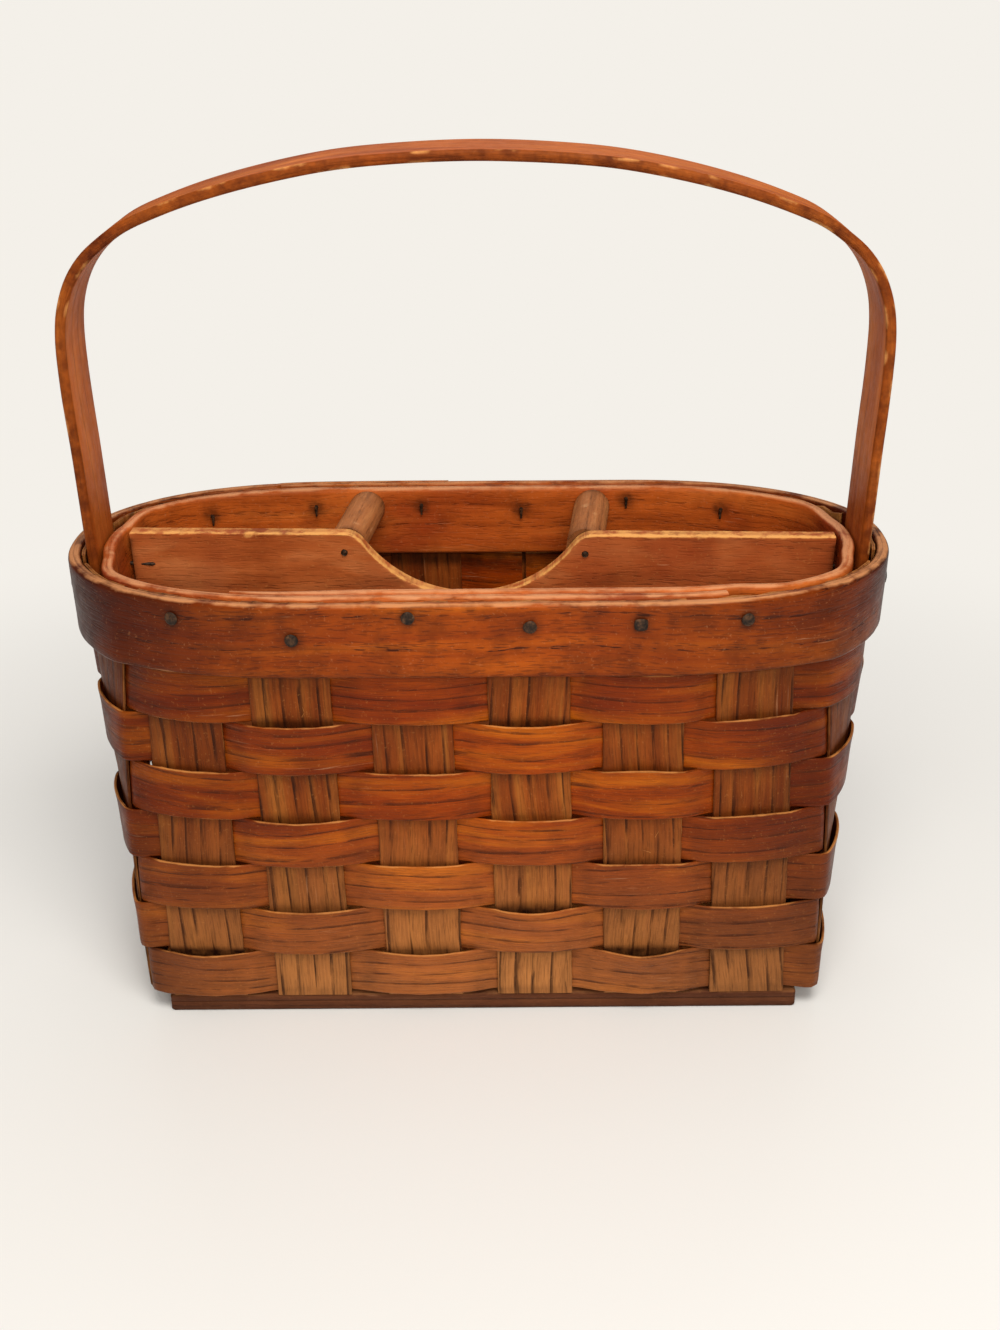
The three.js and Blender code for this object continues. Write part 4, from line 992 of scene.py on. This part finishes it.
# Handle bow.
BOW_CORNER = [
    (147, 1.5), (121, 4.1), (92, 9.6), (66, 16.4), (46, 23.2), (31.6, 29.3), (21.2, 36.2),
    (12.7, 43.4), (5.7, 52.8), (0.5, 65.4), (-1.8, 78), (-2.4, 99), (-1.2, 137),
]


def curve_through(points, spacing):
    """A centripetal Catmull-Rom curve through the points, cut into even steps."""
    ends = [2 * points[0] - points[1], *points, 2 * points[-1] - points[-2]]
    dense = []
    for a, b, c, d in zip(ends, ends[1:], ends[2:], ends[3:]):
        before, span, after = (math.sqrt((q - p).length) for p, q in ((a, b), (b, c), (c, d)))
        lead = ((b - a) / before - (c - a) / (before + span) + (c - b) / span) * span
        trail = ((c - b) / span - (d - b) / (span + after) + (d - c) / after) * span
        for step in range(40):
            here, rise, there, fall = easing(step / 40)
            dense.append(b * here + lead * rise + c * there + trail * fall)
    dense.append(points[-1])
    even = [dense[0]]
    for point in dense[1:]:
        if (point - even[-1]).length >= spacing:
            even.append(point)
    even[-1] = dense[-1]
    return even


HANDLE_SOFT = 2.0


def handle_bow():
    def leg_x(height):
        return wall_point(RIGHT_MIDDLE, height, LEG_INSET).x

    right = [Vector((0, 0, CROWN))]
    right += [Vector((leg_x(RIM_HEIGHT) - inset, 0, CROWN - drop)) for inset, drop in BOW_CORNER]
    left = [Vector((-p.x, 0, p.z)) for p in reversed(right)]
    arch = curve_through(left + right[1:], 3.0)
    heights = [HANDLE_FOOT + (RIM_HEIGHT - HANDLE_FOOT) * i / 12 for i in range(12)]
    leg = [Vector((leg_x(height), 0, height)) for height in heights]
    line = [Vector((-p.x, 0, p.z)) for p in leg] + arch + list(reversed(leg))
    along = running_lengths(line)
    index_of = {u: i for i, u in enumerate(along)}

    def lay(u, v, side):
        i = index_of[u]
        direction = (line[min(i + 1, len(line) - 1)] - line[max(i - 1, 0)]).normalized()
        outward = Vector((-direction.z, 0, direction.x))
        near = min(v, HANDLE_WIDTH - v)
        half = HANDLE_THICKNESS / 2 * rounding(near, HANDLE_SOFT)
        half -= 0.12 * (0.5 + hills(u * 0.02, v * 0.05, 4))
        at_back = v > HANDLE_WIDTH / 2

        # The edges waver, with a nick here and there.
        pull = 0.0
        if near < 1.5:
            pull = 0.25 + 0.3 * hills(u * 0.05, 3 if at_back else 8)
            pull += max(0.0, hills(u * 0.17, 5 if at_back else 2) - 0.4) * 1.5
        y = v - HANDLE_WIDTH / 2 + (-pull if at_back else pull)
        point = line[i] + outward * (side * half) + Vector((0, y, 0))

        # The arrises are chipped in stretches. Painted shade darkens both edges and the legs up to
        # a little above the rim, and the outer face is darker.
        chip = max(0.0, hills(u * 0.055, 3 if at_back else 8, side) - 0.02)
        chip *= 1 + 1.5 * hills(u * 0.21, 6, v * 0.3)
        worn = min(5 * chip, 1.1) * math.exp(-abs(near - 0.8) / 0.7) if side else 0.0
        dirt_and_shade = 0.6 * (1 - smooth(RIM_HEIGHT - 2, RIM_HEIGHT + 14, line[i].z))
        if side > 0:
            dirt_and_shade = max(dirt_and_shade, 0.3 + 0.15 * hills(u * 0.03, 11))
        edge_shade = 1.2 * (1 - smooth(0.9, 2.0, near)) * (0.9 + 0.3 * hills(u * 0.03, 6))
        return point, worn, max(dirt_and_shade, edge_shade)

    mesh = bent_strip(along, edge_rows(HANDLE_WIDTH, HANDLE_SOFT), lay, 47, HANDLE_THICKNESS)
    finish_piece(mesh, "handle_bow_bent", HANDLE_ASH, "handle_bow", "handle_bow")


handle_bow()


# Divider.
ALONG_DIVIDER = Vector((math.cos(DIVIDER_SKEW), -math.sin(DIVIDER_SKEW), 0))
ACROSS_DIVIDER = Vector((math.sin(DIVIDER_SKEW), math.cos(DIVIDER_SKEW), 0))


def divider_point(along, across, height):
    return (Vector((0, DIVIDER_CENTRE_Y, height)) + ALONG_DIVIDER * along
            + ACROSS_DIVIDER * across)


def divider_reach(sign, height):
    """How far the divider goes before a corner of its end comes close to the inner hoop."""
    reach = TOP_HALF_LENGTH
    for _ in range(8):
        limits = []
        for face in (-1, 1):
            corner = divider_point(sign * reach, face * DIVIDER_THICKNESS / 2, height)
            place = end_place(sign, corner.y)
            meets = wall_point(place, height, inside_face(place))
            room = abs(meets.x) - DIVIDER_FIT - abs(corner.x)
            limits.append(reach + room / ALONG_DIVIDER.x)
        reach = min(limits)
    return reach


def divider_ends():
    ends = []
    for sign in (-1, 1):
        top = divider_reach(sign, DIVIDER_TOP)
        slope = (top - divider_reach(sign, HOOP_BOTTOM)) / (DIVIDER_TOP - HOOP_BOTTOM)
        middle = RIGHT_MIDDLE if sign > 0 else LEFT_MIDDLE
        wall = abs(wall_point(middle, DIVIDER_FOOT, WEAVE_INSIDE).x) - DIVIDER_FIT
        ends.append((sign * top, sign * min(top - slope * (DIVIDER_TOP - DIVIDER_FOOT), wall)))
    return ends


DIVIDER_ENDS = divider_ends()


def scoop_top(x):
    """Height of the divider's top edge at a distance along it."""
    away = abs(x - SCOOP_SHIFT)
    centre = DIVIDER_TOP - SCOOP_DEPTH + SCOOP_RADIUS
    shoulder_rise = DIVIDER_TOP - SCOOP_SHOULDER - centre
    shoulder_reach = math.sqrt((SCOOP_RADIUS + SCOOP_SHOULDER) ** 2 - shoulder_rise ** 2)
    if away >= shoulder_reach:
        return DIVIDER_TOP
    meet = shoulder_reach * SCOOP_RADIUS / (SCOOP_RADIUS + SCOOP_SHOULDER)
    if away >= meet:
        rise = math.sqrt(max(SCOOP_SHOULDER ** 2 - (shoulder_reach - away) ** 2, 0.0))
        return DIVIDER_TOP - SCOOP_SHOULDER + rise
    return centre - math.sqrt(SCOOP_RADIUS ** 2 - away ** 2)


def divider():
    """The board is laid as a strip whose rows crowd together below its scooped top edge."""
    (left_top, left_foot), (right_top, right_foot) = DIVIDER_ENDS
    length = right_top - left_top
    steps = 240
    along = [length * i / steps for i in range(steps + 1)]
    fractions = [0.0, 0.002, 0.006, 0.2, 0.4, 0.6, 0.75, 0.86, 0.93, 0.965]
    below = [4.0, 2.0, 1.0, 0.5, 0.15, 0.0]
    across = list(range(len(fractions) + len(below)))

    def lay(u, v, side):
        step = int(v)
        share = u / length
        x_top = left_top + u
        top = scoop_top(x_top)
        if step < len(fractions):
            height = DIVIDER_FOOT + (top - 5 - DIVIDER_FOOT) * fractions[step] / fractions[-1]
            under = top - height
        else:
            under = below[step - len(fractions)]
            height = top - under
        foot_x = left_foot + (right_foot - left_foot) * share
        rise = (height - DIVIDER_FOOT) / (DIVIDER_TOP - DIVIDER_FOOT)
        x = foot_x + (x_top - foot_x) * rise

        # Where the arris is chipped it is rounder, and more so at the front.
        chip = max(0.0, hills(u * 0.09, 6) - 0.05) * 1.6 + max(0.0, hills(u * 0.3, 2) - 0.3)
        soft = 1.0 + (chip * 1.4 if side < 0 else 0.4 * chip)
        away = min(max(under / soft, 0.0), 1.0)
        half = DIVIDER_THICKNESS / 2 - soft * (1 - math.sqrt(1 - (1 - away) ** 2)) * 0.9
        half -= 0.1 * (0.5 + hills(u * 0.02, height * 0.02, 8))
        if under < 0.2:
            height -= 0.25 + 0.25 * hills(u * 0.04, 12)
        point = divider_point(x, side * half, height)
        worn = math.exp(-under / (0.9 + 1.3 * chip if side < 0 else 0.8))
        if side > 0:
            worn *= 0.7
        # Both ends, where the board meets the inner hoop, are darkened with painted shade.
        dirt_and_shade = 0.95 * math.exp(-min(u, length - u) / 1.6) if under > 3 else 0.0
        return point, worn, dirt_and_shade

    mesh = bent_strip(along, across, lay, 53, DIVIDER_THICKNESS)
    grain = mesh.loops.layers.uv["grain"]
    for face in mesh.faces:
        for loop in face.loops:
            loop[grain].uv = (loop.vert.co.x / 1000 + 7.1, loop.vert.co.z / 1000 + 3.3)
    finish_piece(mesh, "divider_board_sawn", BOARD_PINE, "board", "divider_board")


divider()


# Dowels.
DOWEL_AXIS = Vector((math.sin(DOWEL_SLANT), math.cos(DOWEL_SLANT), 0))


def back_face_y(x, height):
    place = back_place(x)
    return wall_point(place, height, inside_face(place)).y - FIT


def dowel_ends(x):
    along = (x - ACROSS_DIVIDER.x * (DIVIDER_THICKNESS / 2)) / ALONG_DIVIDER.x
    start = divider_point(along, DIVIDER_THICKNESS / 2 + FIT, DOWEL_HEIGHT)
    end = start
    for _ in range(6):
        end = start + DOWEL_AXIS * ((back_face_y(end.x, DOWEL_HEIGHT) - start.y) / DOWEL_AXIS.y)
    return start, end


def dowel(name, x, seed):
    """A turned rod: a cylinder cut into short lengths, then nicked and laid in place."""
    start, end = dowel_ends(x)
    rod = bmesh.new()
    bmesh.ops.create_cone(rod, cap_ends=True, segments=40, radius1=1, radius2=1, depth=1)
    lengths = 24
    for cut in range(1, lengths):
        cut_across(rod, (0, 0, cut / lengths - 0.5), (0, 0, 1))
    grain, edge, dirt_and_shade_mask = finish_layers(rod)
    length = (end - start).length
    for face in rod.faces:
        middle = face.calc_center_median()
        turn = math.atan2(middle.y, middle.x)
        for loop in face.loops:
            at = loop.vert.co
            angle = math.atan2(at.y, at.x)
            angle += 2 * math.pi if turn - angle > math.pi else 0
            angle -= 2 * math.pi if angle - turn > math.pi else 0
            loop[grain].uv = ((at.z * length) / 1000 + seed, angle * DOWEL_RADIUS / 1000 + seed)
    side = Vector((DOWEL_AXIS.y, -DOWEL_AXIS.x, 0))
    for vert in rod.verts:
        share = vert.co.z + 0.5
        nick = max(0.0, hills(vert.co.x * 2.2, vert.co.y * 2.2, share * 9 + seed) - 0.3) * 1.3
        radius = DOWEL_RADIUS - 0.12 - nick
        offset = side * (vert.co.x * radius) + Vector((0, 0, vert.co.y * radius))
        low = start + offset - DOWEL_AXIS * (offset.dot(ACROSS_DIVIDER)
                                             / DOWEL_AXIS.dot(ACROSS_DIVIDER))
        high = end + offset
        high += DOWEL_AXIS * ((back_face_y(high.x, high.z) - high.y) / DOWEL_AXIS.y)
        vert[edge] = 0.25 + 0.9 * nick
        vert[dirt_and_shade_mask] = 0.7 * math.exp(-min(share, 1 - share) * length / 3)
        vert.co = low.lerp(high, share)
    finish_piece(rod, f"{name}_turned", DOWEL_BIRCH, "dowel", name)


dowel("dowel_left", DOWEL_FRONT_X["left"], 3.1)
dowel("dowel_right", DOWEL_FRONT_X["right"], 5.9)


# Boards.
def board(name, half_length, half_depth, low, high, bevel, corner, material, seed, seams=()):
    """A sawn board: a block with its upright corners and then its arrises bevelled."""
    block = bmesh.new()
    size = Matrix.Diagonal((2 * half_length, 2 * half_depth, high - low, 1))
    bmesh.ops.create_cube(block, size=1, matrix=size)
    bmesh.ops.translate(block, verts=block.verts, vec=(0, 0, (low + high) / 2))
    for offset, upright in ((corner, True), (bevel, False)):
        edges = [e for e in block.edges
                 if (abs(e.verts[0].co.z - e.verts[1].co.z) > 1) == upright]
        bmesh.ops.bevel(block, geom=edges, offset=offset, affect="EDGES", segments=3,
                        profile=0.5, material=-1)
    lengths = 20
    for cut in range(1 - lengths, lengths):
        cut_across(block, (cut * half_length / lengths, 0, 0), (1, 0, 0))
    for level in seams:
        cut_across(block, (0, 0, level), (0, 0, 1))
    grain, edge, dirt_and_shade_mask = finish_layers(block)
    for face in block.faces:
        upright_face = abs(face.normal.z) < 0.5
        for loop in face.loops:
            at = loop.vert.co
            across = at.z if upright_face else at.y
            loop[grain].uv = (at.x / 1000 + seed, across / 1000 + seed * 0.37)
    for vert in block.verts:
        at = vert.co
        if abs(at.y) > half_depth - 3 or abs(at.x) > half_length - 3:
            vert[edge] = 0.75 * math.exp(-max(high - at.z, 0) / 1.4)
        vert[dirt_and_shade_mask] = 0.65 * math.exp(-max(at.z - low, 0) / 3.0)
        for level in seams[1:-1]:
            if abs(at.z - level) < 0.1:
                vert[dirt_and_shade_mask] = 1.0
                at.y -= math.copysign(0.35, at.y)
        slack = 0.18 * hills(at.x * 0.03, at.y * 0.05, seed)
        if abs(at.y) > half_depth - 0.5:
            at.y -= math.copysign(0.18 + slack, at.y)
    finish_piece(block, f"{name}_sawn", material, "board", name)


board("bottom_board_lower", BOARD_HALF_LENGTH, BOARD_HALF_DEPTH, 0, LOWER_BOARD, bevel=1.2,
      corner=2.0, material=FOOT_BOARD, seed=2.3, seams=(5.3, 5.7, 6.1))
board("bottom_board_inner", BASE_HALF_LENGTH - INNER_BOARD_INSET,
      BASE_HALF_DEPTH - INNER_BOARD_INSET, INNER_LOW, INNER_TOP, bevel=0.5, corner=7.0,
      material=BOARD_PINE, seed=4.7)


# Nails.
def facing(direction):
    """The turn that takes +Z to the direction and keeps +Y as upright as it can."""
    forward = direction.normalized()
    up_hint = Vector((0, 1, 0)) if abs(forward.z) > 0.9 else Vector((0, 0, 1))
    side = up_hint.cross(forward).normalized()
    return Matrix((side, forward.cross(side), forward)).transposed().to_4x4()


def nail(name, seat, direction, length, seed, clinched=False, square=False, head=NAIL_HEAD):
    """A cut nail: a profile spun round its axis, with a hammered head and a bent tip."""
    mesh = bmesh.new()
    radius = NAIL_RADIUS
    crown = -FIT - 0.333 * head
    profile = [(0, crown), (head * 0.45, crown + 0.05), (head * 0.8, crown + 0.3),
               (head * 0.97, -FIT - 0.6), (head, -FIT - 0.3), (head * 0.9, -FIT), (radius, -FIT),
               (radius, length - 1.2), (radius * (0.9 if clinched else 0.3), length), (0, length)]
    verts = [mesh.verts.new((r, 0, z)) for r, z in profile]
    edges = [mesh.edges.new(pair) for pair in zip(verts, verts[1:])]
    bmesh.ops.spin(mesh, geom=verts + edges, cent=(0, 0, 0), axis=(0, 0, 1), steps=18,
                   angle=2 * math.pi, use_merge=True)
    bmesh.ops.remove_doubles(mesh, verts=mesh.verts, dist=0.001)
    for vert in mesh.verts:
        at = vert.co
        if at.z < -FIT + 0.01:
            turn = math.atan2(at.y, at.x)
            wobble = 1 + 0.07 * hills(math.cos(turn) * 1.3, math.sin(turn) * 1.3, seed)
            if square:
                wobble *= 0.96 / max(abs(math.cos(turn)), abs(math.sin(turn))) ** 0.7
            at.x *= wobble
            at.y *= wobble
            at.z += 0.12 * hills(at.x * 0.7, at.y * 0.7, seed + 4)
    if clinched:
        # The tip is bent square across the grain and hammered flat against the hoop.
        tip = bmesh.ops.create_cone(mesh, cap_ends=True, segments=10, radius1=0.95,
                                    radius2=0.45, depth=5.4)["verts"]
        bmesh.ops.rotate(mesh, verts=tip, cent=(0, 0, 0),
                         matrix=Matrix.Rotation(math.radians(97), 3, "X"))
        bmesh.ops.translate(mesh, verts=tip, vec=(0, -2.2, length + 0.1))
    mesh.transform(Matrix.Translation(seat) @ facing(direction))
    finish_piece(mesh, f"{name}_iron", NAIL_IRON, "nail", name, sharp=60)


def hoop_nail(name, place, height, past, seed, aim=None, **kind):
    """A nail driven from outside through both hoops, and past the inner one by so many mm."""
    nail(name, wall_point(place, height, RIM_FACE_INSET), wall_inward(place, aim or height),
         inside_face(place) - RIM_FACE_INSET + past, seed, **kind)


# The fifth nail of the front has a square head.
for number, (at, level) in enumerate(RIM_NAILS):
    if number < FRONT_STAKES:
        hoop_nail(f"rim_nail_front_{number + 1}", at, level, CLINCH_SEAT, number * 3.1,
                  clinched=True, square=number == 4)
    else:
        hoop_nail(f"rim_nail_back_{number + 1 - FRONT_STAKES}", at, level, CLINCH_SEAT,
                  number * 3.1, aim=RIM_NAIL_HEIGHT, clinched=True)

for side_name, side_sign, end in (("left", -1, DIVIDER_ENDS[0]), ("right", 1, DIVIDER_ENDS[1])):
    hoop_nail(f"handle_nail_{side_name}", end_place(side_sign, HANDLE_NAIL_Y), HOOP_MIDDLE,
              CLINCH_SEAT, side_sign + 9, clinched=True)
    hoop_nail(f"divider_nail_{side_name}", end_place(side_sign, divider_point(end[0], 0, 0).y),
              HOOP_MIDDLE, NAIL_BITE, side_sign + 12)

for side_name, front_x in DOWEL_FRONT_X.items():
    dowel_start, dowel_end = dowel_ends(front_x)
    nail(f"dowel_nail_{side_name}", dowel_start - ACROSS_DIVIDER * (DIVIDER_THICKNESS + FIT),
         ACROSS_DIVIDER, DIVIDER_THICKNESS + NAIL_BITE, front_x, head=1.7)
    hoop_nail(f"dowel_hoop_nail_{side_name}", back_place(dowel_end.x), DOWEL_HEIGHT, NAIL_BITE,
              front_x + 5)

for number in range(4):
    x = (-1 if number % 2 == 0 else 1) * (BOARD_HALF_LENGTH - BOARD_NAIL_INSET)
    y = (-1 if number < 2 else 1) * (BOARD_HALF_DEPTH - BOARD_NAIL_INSET)
    nail(f"board_nail_{number + 1}", Vector((x, y, INNER_TOP)), Vector((0, 0, -1)),
         INNER_TOP - LOWER_BOARD * 0.4, number)


# Floor, light and camera. Matt paint keeps the soft shadow and no shine, and far from the
# object the floor fades into the pale backdrop.
PALE = "#f4f0e9"
floor_finish = bpy.data.materials.new("matt_painted_floor")
add = emptied(floor_finish)
spread = add("VectorMath", {0: add("TexCoord", out="Object")}, out="Value", operation="LENGTH")
fade = add("MapRange", {"Value": spread, "From Min": 0.26, "From Max": 0.7},
           interpolation_type="SMOOTHSTEP")
seen_fade = add("Math", {0: fade, 1: add("LightPath", out="Is Camera Ray")}, operation="MULTIPLY")
matt = add("BsdfPrincipled", {
    "Base Color": linear("#e4eaf2"), "Roughness": 0.8, "Specular IOR Level": 0.2,
})
backdrop = add("Emission", {"Color": linear(PALE), "Strength": 1.0})
blended = add("MixShader", {0: seen_fade, 1: matt, 2: backdrop})
add("OutputMaterial", {"Surface": blended})

ground = bmesh.new()
bmesh.ops.create_grid(ground, x_segments=1, y_segments=1, size=6)
bmesh.ops.translate(ground, verts=ground.verts, vec=(0, 0, -0.0002))
floor = mesh_object(ground, "floor", floor_finish)

# The room lights the object evenly, less in reflections, and looks pale to the camera.
world = bpy.data.worlds.new("studio")
bpy.context.scene.world = world
add = emptied(world)
rays = add("LightPath").node.outputs
dimmed = add("Math", {0: rays["Is Glossy Ray"], 1: -0.22, 2: 0.4}, operation="MULTIPLY_ADD")
lamp_light = add("Background", {"Color": linear("#fff4e4"), "Strength": dimmed})
pale_view = add("Background", {"Color": linear(PALE), "Strength": 1.0})
both = add("MixShader", {0: rays["Is Camera Ray"], 1: lamp_light, 2: pale_view})
add("OutputWorld", {"Surface": both})


def softbox(name, place, aim, size, power, code):
    """A wide soft lamp, turned towards what it lights."""
    lamp = bpy.data.lights.new(name, "AREA")
    lamp.shape = "RECTANGLE"
    lamp.size, lamp.size_y = size
    lamp.energy = power
    lamp.color = linear(code)[:3]
    fitting = show(name, lamp)
    fitting.location = place
    fitting.rotation_euler = (Vector(aim) - Vector(place)).to_track_quat("-Z", "Y").to_euler()


softbox("overhead", (0.12, -0.7, 1.4), (0, 0, 0.15), (0.8, 0.6), 15.5, "#fff4e4")
softbox("front", (0.22, -1.45, 0.9), (0, 0, 0.12), (0.8, 0.6), 10, "#fff4e4")
softbox("back", (0.0, 1.4, 1.5), (0, 0, 0.2), (1.6, 0.8), 7, "#fff8f0")

camera_data = bpy.data.cameras.new("camera")
camera_data.sensor_fit = "AUTO"
camera_data.sensor_width = 36
camera_data.lens = CAMERA_LENS
camera = show("camera", camera_data)
camera.matrix_world = (
    Matrix.Translation(CAMERA_PLACE)
    @ Matrix.Rotation(-CAMERA_YAW, 4, "Z")
    @ Matrix.Rotation(math.pi / 2 - CAMERA_PITCH, 4, "X")
    @ Matrix.Rotation(CAMERA_ROLL, 4, "Z")
)
bpy.context.scene.camera = camera
bpy.context.scene.view_settings.view_transform = "Standard"
